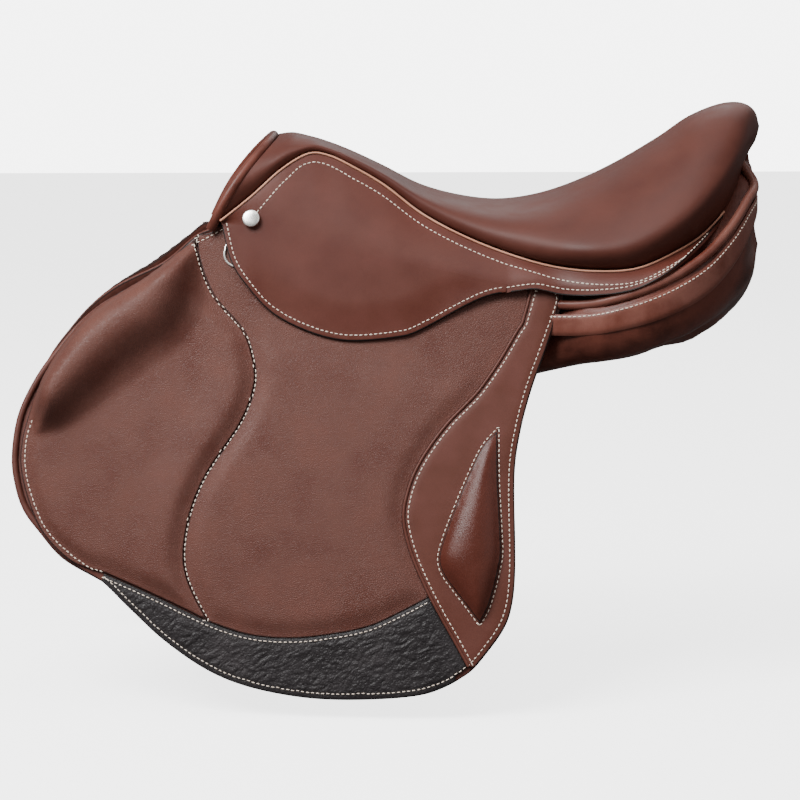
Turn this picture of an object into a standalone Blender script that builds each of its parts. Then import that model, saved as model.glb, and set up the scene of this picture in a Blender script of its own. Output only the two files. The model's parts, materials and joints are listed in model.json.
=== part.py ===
"""English jumping saddle, built as its separate pieces.

Frame: metres, +Z up, +X towards the cantle, -Y the horse's left side. The origin is on the
centreline, under the deepest point of the seat, at the height of the panels' underside.
Heights and widths of one side are written as (x, out, z), where out is the distance from the
centreline, and a side of -1 or +1 puts them on the left or the right.
"""
import math

import bmesh
import bpy
from mathutils import Matrix, Vector

LEFT = -1
RIGHT = 1
SIDES = ((LEFT, "left"), (RIGHT, "right"))
GAP = 0.0003                     # between pieces that touch
SEAM_GAP = 0.0002                # from a piece's edge to the line of its seam

# Seat: leaning cross-sections from the pommel to the cantle tip. Each is crown x, crown z,
# forward lean, edge out, edge z, welt out, welt z. The seat is widest at its edge, and rolls
# in from there to the welt, where the skirt begins.
SEAT_SECTIONS = (
    (-0.188, 0.208, 0.80, 0.077, 0.148, 0.076, 0.140),
    (-0.178, 0.209, 0.75, 0.071, 0.166, 0.070, 0.158),
    (-0.168, 0.2085, 0.70, 0.063, 0.185, 0.062, 0.178),
    (-0.155, 0.205, 0.60, 0.055, 0.196, 0.054, 0.191),
    (-0.140, 0.200, 0.50, 0.054, 0.195, 0.053, 0.190),
    (-0.120, 0.192, 0.40, 0.058, 0.187, 0.057, 0.182),
    (-0.092, 0.179, 0.30, 0.065, 0.173, 0.063, 0.167),
    (-0.060, 0.163, 0.15, 0.076, 0.152, 0.073, 0.145),
    (-0.025, 0.1535, 0.0, 0.090, 0.133, 0.086, 0.126),
    (0.010, 0.150, 0.0, 0.106, 0.121, 0.099, 0.113),
    (0.045, 0.155, 0.0, 0.124, 0.115, 0.112, 0.104),
    (0.080, 0.167, 0.0, 0.138, 0.116, 0.124, 0.101),
    (0.115, 0.184, 0.0, 0.142, 0.123, 0.129, 0.104),
    (0.150, 0.205, 0.0, 0.134, 0.142, 0.118, 0.118),
    (0.175, 0.2225, 0.0, 0.119, 0.160, 0.101, 0.132),
    (0.200, 0.233, 0.0, 0.094, 0.182, 0.080, 0.152),
    (0.218, 0.2345, 0.0, 0.067, 0.199, 0.056, 0.170),
    (0.229, 0.228, 0.0, 0.042, 0.206, 0.034, 0.186),
    (0.235, 0.215, 0.0, 0.016, 0.207, 0.012, 0.199),
)
ARCH_POWER = 2.3                 # roundness of the seat's cross-section
LEATHER = 0.0025                 # seat cover and skirt
FOAM = 0.015
WEBBING = 0.0015
WELT_RADIUS = 0.0012

# Hinge line, where the skirt and the flap bend away from the saddle, on the skirt's face
HINGE_FRONT = Vector((-0.221, 0.078, 0.135))
HINGE_REAR = Vector((0.009, 0.118, 0.087))
SPLAY = math.radians(16)         # of the flap from the vertical

# Layers below the hinge line, as depths in from the skirt's face
SKIRT_DEPTHS = (0.0, 0.003)
DEE_DEPTH = 0.0054
COVER_DEPTHS = (0.0070, 0.0090)
FLAP_DEPTHS = (0.0093, 0.0125)
OUTER_BILLET_DEPTHS = (0.0146, 0.0176)
MIDDLE_BILLET_DEPTHS = (0.0180, 0.0210)
WEB_DEPTHS = (0.0213, 0.0228)
SWEAT_FLAP_DEPTHS = (0.0232, 0.0262)
TREE_POINT_DEPTHS = (0.0266, 0.0316)

# Stirrup bar
BAR_X = (-0.145, -0.045)
BAR_OUT = (0.072, 0.078)
BAR_Z = (0.113, 0.127)
BAR_PLATE_OUT = (0.0605, 0.0635)
RIVET_X = -0.100
CATCH_PIVOT_X = -0.050
CATCH_TONGUE = 0.0014            # half the thickness
CATCH_LENGTH = 0.016
CATCH_RADIUS = 0.0042

BILLET_WIDTH = 0.026
BILLET_LENGTH = 0.300
BILLET_TOPS = {"front": 0.125, "middle": 0.160, "rear": 0.195}
BILLET_START = 0.014


# ---------------------------------------------------------------- materials

def hex_to_linear(code):
    channels = [int(code[i:i + 2], 16) / 255 for i in (0, 2, 4)]
    return [c / 12.92 if c <= 0.04045 else ((c + 0.055) / 1.055) ** 2.4 for c in channels]


def finish(name, code, roughness, metallic=0.0):
    made = bpy.data.materials.new(name)
    made.use_nodes = True
    shader = made.node_tree.nodes["Principled BSDF"]
    shader.inputs["Base Color"].default_value = (*hex_to_linear(code), 1)
    shader.inputs["Roughness"].default_value = roughness
    shader.inputs["Metallic"].default_value = metallic
    made.diffuse_color = (*hex_to_linear(code), 1)
    return made


# ---------------------------------------------------------------- shapes

def add_object(name, vertices, faces, look, smooth_angle=40):
    """One closed solid. Its faces are turned outwards."""
    mesh = bpy.data.meshes.new(name)
    mesh.from_pydata([tuple(v) for v in vertices], [], faces)
    bm = bmesh.new()
    bm.from_mesh(mesh)
    bmesh.ops.recalc_face_normals(bm, faces=bm.faces)
    if bm.calc_volume(signed=True) < 0:
        bmesh.ops.reverse_faces(bm, faces=bm.faces)
    bmesh.ops.triangulate(bm, faces=bm.faces)
    bm.to_mesh(mesh)
    bm.free()
    mesh.shade_smooth()
    mesh.set_sharp_from_angle(angle=math.radians(smooth_angle))
    mesh.materials.append(look)
    made = bpy.data.objects.new(name, mesh)
    bpy.context.collection.objects.link(made)
    return made


def put_origin(piece, place):
    """Move a piece's origin to its joint, and leave its shape where it is."""
    piece.data.transform(Matrix.Translation(-place))
    piece.location = place


def smooth_run(points, steps):
    """Points along a Catmull-Rom curve through the given ones, both ends included."""
    points = [Vector(p) for p in points]
    if len(points) == 2:
        return points
    padded = [2 * points[0] - points[1], *points, 2 * points[-1] - points[-2]]
    curve = []
    for i in range(1, len(padded) - 2):
        a, b, c, d = padded[i - 1:i + 3]
        for k in range(steps):
            t = k / steps
            curve.append(0.5 * (2 * b + (c - a) * t + (2 * a - 5 * b + 4 * c - d) * t ** 2
                                + (3 * b - a - 3 * c + d) * t ** 3))
    curve.append(points[-1])
    return curve


def outline(*runs, steps=3):
    """A closed outline of smooth runs that meet at corners."""
    loop = []
    for run in runs:
        loop += smooth_run([(u / 1000, v / 1000) for u, v in run], steps)[:-1]
    return loop


def inset(loop, amount):
    """The same outline, moved in by amount all round."""
    area = sum(a.x * b.y - b.x * a.y for a, b in zip(loop, loop[1:] + loop[:1]))
    turn = 1 if area > 0 else -1
    moved = []
    for i, point in enumerate(loop):
        along = (loop[(i + 1) % len(loop)] - loop[i - 1]).normalized()
        moved.append(point + Vector((-along.y, along.x)) * amount * turn)
    return moved


def to_side(point, side):
    return Vector((point[0], side * point[1], point[2]))


def stacked_rings(rings):
    """Vertices and faces of a solid skinned over rings of equal length, closed at both ends."""
    count = len(rings[0])
    vertices = [v for ring in rings for v in ring]
    faces = [list(range(count)), list(range(len(vertices) - count, len(vertices)))]
    for r in range(len(rings) - 1):
        for i in range(count):
            j = (i + 1) % count
            faces.append([r * count + i, r * count + j,
                          (r + 1) * count + j, (r + 1) * count + i])
    return vertices, faces


def thick_sheet(front, back):
    """Vertices and faces of a solid between two grids of points of the same size."""
    rows, columns = len(front), len(front[0])
    half = rows * columns
    vertices = [p for grid in (front, back) for row in grid for p in row]
    at = lambda r, c: r * columns + c
    faces = []
    for r in range(rows - 1):
        for c in range(columns - 1):
            quad = [at(r, c), at(r, c + 1), at(r + 1, c + 1), at(r + 1, c)]
            faces.append(quad)
            faces.append([half + i for i in reversed(quad)])
    border = [at(0, c) for c in range(columns)]
    border += [at(r, columns - 1) for r in range(1, rows)]
    border += [at(rows - 1, c) for c in range(columns - 2, -1, -1)]
    border += [at(r, 0) for r in range(rows - 2, 0, -1)]
    for a, b in zip(border, border[1:] + border[:1]):
        faces.append([a, b, half + b, half + a])
    return vertices, faces


def sunk(grid, depth, inwards):
    """A grid of points moved by depth along its own normals, on the side that faces inwards."""
    moved = []
    for r, row in enumerate(grid):
        line = []
        for c, point in enumerate(row):
            along = row[min(c + 1, len(row) - 1)] - row[max(c - 1, 0)]
            across = grid[min(r + 1, len(grid) - 1)][c] - grid[max(r - 1, 0)][c]
            normal = along.cross(across).normalized()
            if normal.dot(inwards(point)) < 0:
                normal = -normal
            line.append(point + normal * depth)
        moved.append(line)
    return moved


def bar_along(path, width, thickness, flat_towards, closed=False):
    """Rings of a rectangular bar swept along a path, its flat side turned to a direction."""
    rings = []
    for i, place in enumerate(path):
        ahead = path[(i + 1) % len(path)] if closed else path[min(i + 1, len(path) - 1)]
        behind = path[i - 1] if closed else path[max(i - 1, 0)]
        along = (ahead - behind).normalized()
        up = flat_towards(place)
        up = (up - along * up.dot(along)).normalized()
        across = along.cross(up)
        rings.append([place + across * (a * width / 2) + up * (b * thickness / 2)
                      for a, b in ((-1, -1), (1, -1), (1, 1), (-1, 1))])
    return rings


def ring_solid(rings):
    """Vertices and faces of a bar whose last ring meets its first."""
    count = len(rings[0])
    vertices = [v for ring in rings for v in ring]
    faces = []
    for r in range(len(rings)):
        s = (r + 1) % len(rings)
        for i in range(count):
            j = (i + 1) % count
            faces.append([r * count + i, r * count + j, s * count + j, s * count + i])
    return vertices, faces


def add_cord(name, points, radius, look, resolution=1):
    """A round tube with closed ends, as a bevelled curve."""
    curve = bpy.data.curves.new(name, "CURVE")
    curve.dimensions = "3D"
    curve.bevel_depth = radius
    curve.bevel_resolution = resolution
    curve.use_fill_caps = True
    spline = curve.splines.new("POLY")
    spline.points.add(len(points) - 1)
    for knot, place in zip(spline.points, points):
        knot.co = (*place, 1)
    curve.materials.append(look)
    made = bpy.data.objects.new(name, curve)
    bpy.context.collection.objects.link(made)
    return made


# ---------------------------------------------------------------- the flap's leather pattern

ALONG = (HINGE_REAR - HINGE_FRONT).normalized()
STEEP = Vector((0, math.sin(SPLAY), -math.cos(SPLAY)))
DOWN = (STEEP - ALONG * STEEP.dot(ALONG)).normalized()
OUTWARD = DOWN.cross(ALONG)
OUTWARD = OUTWARD if OUTWARD.y > 0 else -OUTWARD
PLUMB = Vector((0, 0, -1)) + OUTWARD * OUTWARD.z
PLUMB.normalize()                # the way a strap hangs in the flap's plane


def on_pattern(u, v, depth, side):
    """A point of the flap's pattern: u along the hinge line, v down from it, depth inwards."""
    return to_side(HINGE_FRONT + ALONG * u + DOWN * v - OUTWARD * depth, side)


def add_plate(name, loop, depths, look, side):
    rings = [[on_pattern(p.x, p.y, depth, side) for p in loop] for depth in depths]
    return add_object(name, *stacked_rings(rings), look, smooth_angle=30)


def add_block(name, loop, base, levels, look, side):
    """A moulded block: the outline at its base depth, then drawn in as it rises."""
    rings = []
    for height, drawn_in in levels:
        ring = inset(loop, drawn_in)
        rings.append([on_pattern(p.x, p.y, base - height, side) for p in ring])
    return add_object(name, *stacked_rings(rings), look)


# Pattern curves in millimetres, from the front end of the hinge line
FLAP_TOP = [(-12, 8), (0, 4), (284, 4)]
FLAP_REAR = [(284, 4), (279, 46), (275, 80), (274, 117), (278, 156), (295, 226), (300, 262),
             (296, 286), (281, 318)]
FLAP_BOTTOM = [(281, 318), (265, 335), (241, 350), (196, 364), (150, 373), (102, 375),
               (64, 369), (25, 354), (-4, 338), (-38, 318)]
FLAP_FRONT_LOW = [(-38, 318), (-67, 308), (-98, 289), (-120, 259), (-131, 234), (-134, 212)]
FLAP_FRONT_HIGH = [(-134, 212), (-133, 185), (-129, 158), (-121, 131), (-108, 105), (-90, 82),
                   (-64, 57), (-43, 31), (-30, 14), (-12, 8)]
S_SEAM = [(-30, 22), (-18, 44), (-3, 63), (15, 76), (29, 87), (40, 104), (47, 122), (48, 141),
          (44, 164), (36, 186), (27, 211), (22, 238), (22, 264), (26, 286), (36, 305),
          (57, 330)]
BAND_FRONT = [(258, 22), (252, 34), (244, 60), (231, 93), (215, 120), (203, 146), (195, 174),
              (194, 203), (201, 224), (215, 247), (232, 269)]
BAND_FOOT = [(232, 269), (246, 285), (260, 300), (276, 318)]
STRIP_TOP = [(-38, 311), (-10, 316), (20, 322), (57, 330), (92, 333), (127, 328), (160, 317),
             (193, 301), (232, 269)]
KNEE_CREASE = [(-128, 208), (-121, 213), (-96, 200), (-72, 176), (-41, 140), (-17, 112),
               (-9, 93), (-9, 67), (-25, 26)]
THIGH_OUTLINE = ([(256, 118), (246, 136), (240, 162), (234, 199), (231, 228), (233, 241),
                  (241, 252), (259, 267), (278, 283)],
                 [(278, 283), (283, 265), (284, 229), (280, 208), (267, 163), (256, 118)])
SKIRT_EDGE = [(-12, 1), (3, 30), (21, 48), (48, 66), (83, 75), (116, 75), (153, 64), (172, 54),
              (208, 23), (233, 8), (239, 1)]
SWEAT_EDGE = [(-10, 9), (-34, 20), (-58, 52), (-92, 80), (-113, 105), (-128, 134), (-139, 161),
              (-146, 195), (-143, 229), (-135, 252), (-122, 273), (-103, 289), (-78, 306),
              (-41, 317), (0, 330), (64, 350), (110, 354), (180, 345), (235, 325),
              (252, 300)]


def between(curve, first, last):
    return curve[curve.index(first):curve.index(last) + 1]


def make_flap(side, name, looks):
    flap = outline(FLAP_TOP, FLAP_REAR, FLAP_BOTTOM, FLAP_FRONT_LOW, FLAP_FRONT_HIGH)
    add_plate(f"flap_{name}", flap, FLAP_DEPTHS, looks["flap"], side)

    s_top, s_foot = S_SEAM[0], S_SEAM[-1]
    knee_pad = outline(S_SEAM, between(STRIP_TOP, STRIP_TOP[0], s_foot)[::-1],
                       [STRIP_TOP[0], *FLAP_FRONT_LOW[1:]],
                       between(FLAP_FRONT_HIGH, (-134, 212), (-30, 14)),
                       [(-30, 14), s_top], steps=2)
    add_plate(f"knee_pad_{name}", inset(knee_pad, 4 * SEAM_GAP), COVER_DEPTHS,
              looks["pad"], side)

    flap_panel = outline([s_top, (0, 24), (60, 24), (258, 22)], BAND_FRONT,
                         between(STRIP_TOP, s_foot, STRIP_TOP[-1])[::-1], S_SEAM[::-1], steps=2)
    add_plate(f"flap_panel_{name}", inset(flap_panel, SEAM_GAP), COVER_DEPTHS,
              looks["pad"], side)

    band = outline([(258, 22), (281, 22)], [(281, 22), *FLAP_REAR[1:]],
                   [(281, 318), (276, 318)], BAND_FOOT[::-1], BAND_FRONT[::-1], steps=2)
    add_plate(f"rear_band_{name}", inset(band, SEAM_GAP), COVER_DEPTHS, looks["band"], side)

    strip = outline(STRIP_TOP, BAND_FOOT, [(276, 318), (263, 333), *FLAP_BOTTOM[2:]],
                    [(-38, 318), (-38, 311)], steps=2)
    add_plate(f"grip_strip_{name}", inset(strip, SEAM_GAP), COVER_DEPTHS, looks["strip"], side)

    knee = outline(KNEE_CREASE,
                   [(-25, 26), (-33, 21), (-46, 37), (-67, 62), (-92, 87), (-109, 110),
                    (-120, 134), (-128, 160), (-131, 186), (-128, 208)], steps=2)
    add_block(f"knee_block_{name}", inset(knee, 0.002), COVER_DEPTHS[0] - GAP,
              ((0, 0), (0.012, 0.001), (0.020, 0.004), (0.024, 0.009)), looks["block"], side)

    thigh = outline(*THIGH_OUTLINE, steps=2)
    add_block(f"thigh_block_{name}", thigh, COVER_DEPTHS[0] - GAP,
              ((0, 0), (0.006, 0.001), (0.011, 0.004)), looks["block"], side)


def make_skirt_lobe(side, name, look):
    lobe = outline([(239, 1), (-12, 1)], SKIRT_EDGE)
    add_plate(f"skirt_{name}", lobe, SKIRT_DEPTHS, look, side)


def make_sweat_flap(side, name, look):
    loop = outline([(252, 9), (-10, 9)], SWEAT_EDGE, [(252, 300), (252, 9)])
    add_plate(f"sweat_flap_{name}", loop, SWEAT_FLAP_DEPTHS, look, side)


# ---------------------------------------------------------------- girth straps

PLUMB_UV = Vector((PLUMB.dot(ALONG), PLUMB.dot(DOWN)))


def billet_pivot(which, depth, side):
    return on_pattern(BILLET_TOPS[which], BILLET_START + BILLET_WIDTH / 2, depth, side)


def make_billets(side, name, looks):
    across = Vector((PLUMB_UV.y, -PLUMB_UV.x)) * (BILLET_WIDTH / 2)
    for which, top in BILLET_TOPS.items():
        depths = MIDDLE_BILLET_DEPTHS if which == "middle" else OUTER_BILLET_DEPTHS
        start = Vector((top, BILLET_START))
        neck = start + PLUMB_UV * (BILLET_LENGTH - 0.022)
        tip = start + PLUMB_UV * BILLET_LENGTH
        loop = [start - across, start + across, neck + across, tip + across * 0.35,
                tip - across * 0.35, neck - across]
        strap = add_plate(f"billet_{which}_{name}", loop, depths, looks["billet"], side)
        put_origin(strap, billet_pivot(which, sum(depths) / 2, side))

    first, last = BILLET_TOPS["front"] - 0.015, BILLET_TOPS["rear"] + 0.022
    web = [Vector(p) for p in ((first, 0.003), (last, 0.003), (last + 0.008, 0.046),
                               (first + 0.008, 0.046))]
    add_plate(f"billet_web_{name}", web, WEB_DEPTHS, looks["webbing"], side)


# ---------------------------------------------------------------- seat

def seat_arc(section, sink):
    """Half of a cross-section, from the crown to the welt, sunk inwards by a thickness."""
    crown_x, crown_z, lean, edge_out, edge_z, welt_out, welt_z = section
    top, side_out = crown_z - sink, edge_out - sink
    points = []
    for t in (0.0, 0.25, 0.5, 0.7, 0.86, 0.96, 1.0):
        rise = (1 - t ** ARCH_POWER) ** (1 / ARCH_POWER)
        points.append((side_out * t, edge_z + (top - edge_z) * rise))
    roll = edge_out - welt_out
    for angle in (30, 60, 90):
        turn = math.radians(angle)
        points.append((welt_out - sink + roll * math.cos(turn),
                       edge_z - (edge_z - welt_z) * math.sin(turn)))
    return [(crown_x - lean * (crown_z - z), out, z) for out, z in points]


def seat_grid(sections, sink):
    """Rows of points across the seat, from the left welt over the crown to the right one."""
    grid = []
    for section in sections:
        half = seat_arc(section, sink)
        grid.append([to_side(p, LEFT) for p in reversed(half[1:])]
                    + [to_side(p, RIGHT) for p in half])
    return grid


def make_seat(looks):
    cover = thick_sheet(seat_grid(SEAT_SECTIONS, 0), seat_grid(SEAT_SECTIONS, LEATHER))
    add_object("seat_cover", *cover, looks["seat"])

    padded = [s[:5] + (s[3] - 0.003, s[4] - 0.004) for s in SEAT_SECTIONS[1:15]]
    outer = seat_grid(padded, LEATHER + GAP)
    inner = seat_grid(padded, LEATHER + GAP + FOAM)
    add_object("seat_foam", *thick_sheet(outer, inner), looks["foam"])

    below = LEATHER + FOAM + 2 * GAP
    rows = []
    for section in SEAT_SECTIONS[3:15]:
        arc = seat_arc(section, below)
        rows.append([arc[i] for i in range(3)])
    spread = lambda drop: [[Vector((p[0], p[1] * s, p[2] - drop)) for p, s in
                            ((row[1], -0.9), (row[0], 1), (row[1], 0.9))] for row in rows]
    add_object("seat_webbing", *thick_sheet(spread(0.0008), spread(0.0008 + WEBBING)),
               looks["webbing"])


def welt_line(drop=0.0, push=0.0):
    """The line where the seat cover ends, moved down and out by small amounts."""
    line = []
    for crown_x, crown_z, lean, _, _, out, z in SEAT_SECTIONS[:-1]:
        line.append((crown_x - lean * (crown_z - z), out + push, z - drop))
    return line


def at_x(line, x):
    """The point of a line at x, between its two nearest points."""
    for a, b in zip(line, line[1:]):
        if a[0] <= x <= b[0]:
            return Vector(a).lerp(Vector(b), (x - a[0]) / (b[0] - a[0]))
    return Vector(line[0] if x < line[0][0] else line[-1])


def make_welts(side, name, look):
    line = smooth_run(welt_line(0.0018, 0.0027), 2)
    add_cord(f"seat_welt_{name}", [to_side(p, side) for p in line], WELT_RADIUS, look)


TAIL_EDGE = [(0.009, 0.118, 0.0875), (0.030, 0.1225, 0.0835), (0.053, 0.1275, 0.0795),
             (0.080, 0.138, 0.0805), (0.111, 0.144, 0.086), (0.140, 0.1415, 0.101),
             (0.165, 0.124, 0.120), (0.186, 0.098, 0.138)]
SKIRT_TOP_X = (-0.229, 0.184)


def make_skirt_top(side, name, look):
    """The skirt above its bend, and its tail, which stay with the seat."""
    upper = smooth_run(welt_line(0.0048, 0.0040), 4)
    lift = DOWN * -0.0008
    lower = [HINGE_FRONT - ALONG * 0.012 + lift, HINGE_REAR + lift,
             *smooth_run(TAIL_EDGE, 3)[1:]]
    rows = []
    columns = 24
    for i in range(columns):
        x = SKIRT_TOP_X[0] + (SKIRT_TOP_X[1] - SKIRT_TOP_X[0]) * i / (columns - 1)
        top, foot = at_x(upper, x), at_x(lower, x)
        over_bar = math.exp(-((x + 0.09) / 0.07) ** 2)
        swell = Vector((0, 0.0015 + 0.004 * over_bar, 0.0005))
        rows.append([top.lerp(foot, t) + swell * (4 * t * (1 - t)) for t in (0, 0.25, 0.5, 0.75, 1)])
    inner = sunk(rows, LEATHER, lambda p: Vector((0, -1, -0.3)))
    grids = [[[to_side(p, side) for p in row] for row in grid] for grid in (rows, inner)]
    add_object(f"skirt_top_{name}", *thick_sheet(*grids), look)


def make_nail(side, name, look):
    """A domed saddle nail, at the front of the skirt."""
    place = Vector((-0.2055, 0.0800, 0.1425))
    axis = Vector((-0.12, 0.93, 0.35)).normalized()
    reach = axis.cross(Vector((0, 0, 1))).normalized()
    rise = reach.cross(axis)
    rings = []
    for radius, height in ((0.0068, 0.0), (0.0075, 0.0008), (0.0062, 0.0028), (0.0035, 0.0040)):
        ring = []
        for k in range(12):
            turn = 2 * math.pi * k / 12
            ring.append(to_side(place + axis * height + reach * radius * math.cos(turn)
                                + rise * radius * math.sin(turn), side))
        rings.append(ring)
    add_object(f"saddle_nail_{name}", *stacked_rings(rings), look)


# ---------------------------------------------------------------- tree

TREE_SIDE = [(-0.172, 0.0, 0.1745), (-0.176, 0.028, 0.1655), (-0.182, 0.044, 0.142),
             (-0.166, 0.050, 0.118), (-0.130, 0.0505, 0.108), (-0.090, 0.0520, 0.106),
             (-0.040, 0.0590, 0.104), (0.000, 0.068, 0.101), (0.050, 0.083, 0.099),
             (0.100, 0.096, 0.106), (0.142, 0.093, 0.128), (0.172, 0.072, 0.158),
             (0.190, 0.040, 0.184), (0.196, 0.0, 0.194)]


def rail_up(place):
    """The way that the flat side of the tree faces: up, and away from the centreline."""
    return Vector((0, place.y, place.z - 0.02)).normalized()


def make_tree(looks):
    half = smooth_run(TREE_SIDE, 2)
    loop = [to_side(p, LEFT) for p in half]
    loop += [to_side(p, RIGHT) for p in reversed(half[1:-1])]
    rings = bar_along(loop, 0.014, 0.010, rail_up, closed=True)
    add_object("tree", *ring_solid(rings), looks["beech"])

    arch = [(-0.1945, 0.0505, 0.126), (-0.195, 0.047, 0.140), (-0.1905, 0.030, 0.163),
            (-0.1865, 0.0, 0.173)]
    half = smooth_run(arch, 3)
    path = [to_side(p, LEFT) for p in half] + [to_side(p, RIGHT) for p in reversed(half[:-1])]
    rings = bar_along(path, 0.004, 0.014, lambda p: Vector((0, p.y, p.z - 0.09)))
    add_object("head_plate", *stacked_rings(rings), looks["steel"])

    for side, name in SIDES:
        rail = smooth_run(TREE_SIDE[4:9], 2)
        path = [to_side(p - rail_up(p) * 0.0067, side) for p in rail]
        rings = bar_along(path, 0.012, 0.0014, rail_up)
        add_object(f"tree_spring_{name}", *stacked_rings(rings), looks["steel"])

        point = outline([(12, 4), (34, 4)], [(34, 4), (32, 96)], [(32, 96), (22, 104), (12, 96)],
                        [(12, 96), (12, 4)], steps=2)
        add_plate(f"tree_point_{name}", point, TREE_POINT_DEPTHS, looks["point"], side)


# ---------------------------------------------------------------- stirrup bars

def flat_solid(loop, low, high, side):
    """An outline in (x, out), raised from one height to another."""
    rings = [[to_side((x, out, z), side) for x, out in loop] for z in (low, high)]
    return stacked_rings(rings)


def make_stirrup_bar(side, name, looks):
    front, rear = BAR_X
    inner, outer = BAR_OUT
    back, face = BAR_PLATE_OUT
    middle = (inner + outer) / 2
    slot = CATCH_TONGUE + GAP
    slot_end = CATCH_PIVOT_X - CATCH_RADIUS - 0.0008
    blade = [(front, back), (-0.062, back), (-0.062, face), (front + 0.010, face),
             (front + 0.010, inner), (rear, inner), (rear, middle - slot),
             (slot_end, middle - slot), (slot_end, middle + slot), (rear, middle + slot),
             (rear, outer), (front + 0.004, outer), (front, outer - 0.004)]
    add_object(f"stirrup_bar_{name}", *flat_solid(blade, *BAR_Z, side), looks["steel"])

    height = sum(BAR_Z) / 2
    rings = []
    for out, radius in ((face + GAP, 0.0036), (face + 0.0012, 0.0034), (face + 0.0020, 0.0018)):
        rings.append([to_side((RIVET_X + radius * math.cos(k * math.pi / 4), out,
                               height + radius * math.sin(k * math.pi / 4)), side)
                      for k in range(8)])
    add_object(f"bar_rivet_{name}", *stacked_rings(rings), looks["steel"])

    pivot = Vector((CATCH_PIVOT_X, middle, height))
    profile = [(CATCH_RADIUS * math.cos(math.radians(a)), CATCH_RADIUS * math.sin(math.radians(a)))
               for a in range(90, 271, 30)]
    profile += [(CATCH_LENGTH * 0.7, -CATCH_RADIUS), (CATCH_LENGTH, -0.0020),
                (CATCH_LENGTH, 0.0036), (CATCH_LENGTH * 0.8, CATCH_RADIUS)]
    rings = [[to_side((pivot.x + dx, middle + off, height + dz), side) for dx, dz in profile]
             for off in (-CATCH_TONGUE, CATCH_TONGUE)]
    catch = add_object(f"stirrup_catch_{name}", *stacked_rings(rings), looks["steel"])
    put_origin(catch, to_side(pivot, side))


# ---------------------------------------------------------------- front dee

DEE_PIVOT = Vector((0.005, 0.012))
DEE_WIRE = 0.0011
DEE_HALF_WIDTH = 0.0100
DEE_DROP = 0.022


def make_dee(side, name, looks):
    across = Vector((PLUMB_UV.y, -PLUMB_UV.x))
    path = []
    for k in range(17):
        turn = math.pi * k / 16
        path.append(DEE_PIVOT + across * (DEE_HALF_WIDTH * math.cos(turn))
                    + PLUMB_UV * (0.006 + (DEE_DROP - 0.006) * math.sin(turn) ** 0.8))
    path = [DEE_PIVOT + across * DEE_HALF_WIDTH, *path, DEE_PIVOT - across * DEE_HALF_WIDTH]
    loop = [on_pattern(p.x, p.y, DEE_DEPTH, side) for p in path]
    normal = to_side(OUTWARD, side)
    rings = bar_along(loop, 2 * DEE_WIRE, 2 * DEE_WIRE, lambda p: normal, closed=True)
    dee = add_object(f"dee_{name}", *ring_solid(rings), looks["steel"])
    put_origin(dee, on_pattern(DEE_PIVOT.x, DEE_PIVOT.y, DEE_DEPTH, side))

    # The chape is a leather tab folded round the dee's straight side, with room for its swing
    near, far = DEE_DEPTH - DEE_WIRE - 0.0002, DEE_DEPTH + DEE_WIRE + 0.0002
    top, under = near - 0.0007, COVER_DEPTHS[1]
    clear = DEE_WIRE + 0.0014
    loop = [(-0.0110, under), (clear + 0.0006, under), (clear + 0.0013, under - 0.0006),
            (clear + 0.0013, top + 0.0006), (clear + 0.0006, top), (-0.0110, top),
            (-0.0110, near), (clear, near), (clear, far), (-0.0110, far)]
    rings = []
    for reach in (-0.0065, 0.0065):
        rings.append([on_pattern(DEE_PIVOT.x + across.x * reach + PLUMB_UV.x * v,
                                 DEE_PIVOT.y + across.y * reach + PLUMB_UV.y * v, depth, side)
                      for v, depth in loop])
    add_object(f"dee_chape_{name}", *stacked_rings(rings), looks["flap"])


# ---------------------------------------------------------------- panels

# Cross-sections of one panel: x, gullet side, outer side, underside height at the gullet and
# outside, crease, seam and top heights
PANEL_SECTIONS = (
    (-0.226, 0.040, 0.060, 0.074, 0.066, 0.080, 0.096, 0.108),
    (-0.205, 0.037, 0.070, 0.036, 0.020, 0.050, 0.086, 0.108),
    (-0.165, 0.036, 0.090, 0.014, -0.004, 0.030, 0.072, 0.096),
    (-0.120, 0.036, 0.100, 0.006, -0.009, 0.022, 0.066, 0.092),
    (-0.060, 0.036, 0.105, 0.006, -0.009, 0.022, 0.064, 0.090),
    (0.000, 0.036, 0.110, 0.008, 0.000, 0.030, 0.060, 0.086),
    (0.0235, 0.036, 0.114, 0.010, 0.006, 0.035, 0.061, 0.086),
    (0.0555, 0.036, 0.124, 0.012, 0.015, 0.043, 0.063, 0.086),
    (0.066, 0.036, 0.129, 0.012, 0.017, 0.045, 0.064, 0.087),
    (0.095, 0.036, 0.142, 0.014, 0.023, 0.050, 0.070, 0.092),
    (0.132, 0.036, 0.144, 0.022, 0.034, 0.060, 0.083, 0.106),
    (0.168, 0.036, 0.132, 0.038, 0.050, 0.076, 0.102, 0.128),
    (0.194, 0.037, 0.112, 0.058, 0.068, 0.098, 0.125, 0.148),
    (0.212, 0.038, 0.088, 0.082, 0.090, 0.122, 0.147, 0.160),
    (0.222, 0.041, 0.062, 0.112, 0.116, 0.144, 0.160, 0.166),
)
BEARING_OUT = (0.052, 0.080)     # the flat stretch of the underside
SWEAT_FLAP_END = 0.024


def under_flap(x, z):
    """How far out a panel may reach at x and height z, below the flap and what it covers."""
    if x > 0.056:
        return 1.0
    depth = TREE_POINT_DEPTHS[1] if x < SWEAT_FLAP_END else FLAP_DEPTHS[1]
    place = HINGE_FRONT - OUTWARD * (depth + 0.0015)
    return place.y - ((x - place.x) * OUTWARD.x + (z - place.z) * OUTWARD.z) / OUTWARD.y


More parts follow.
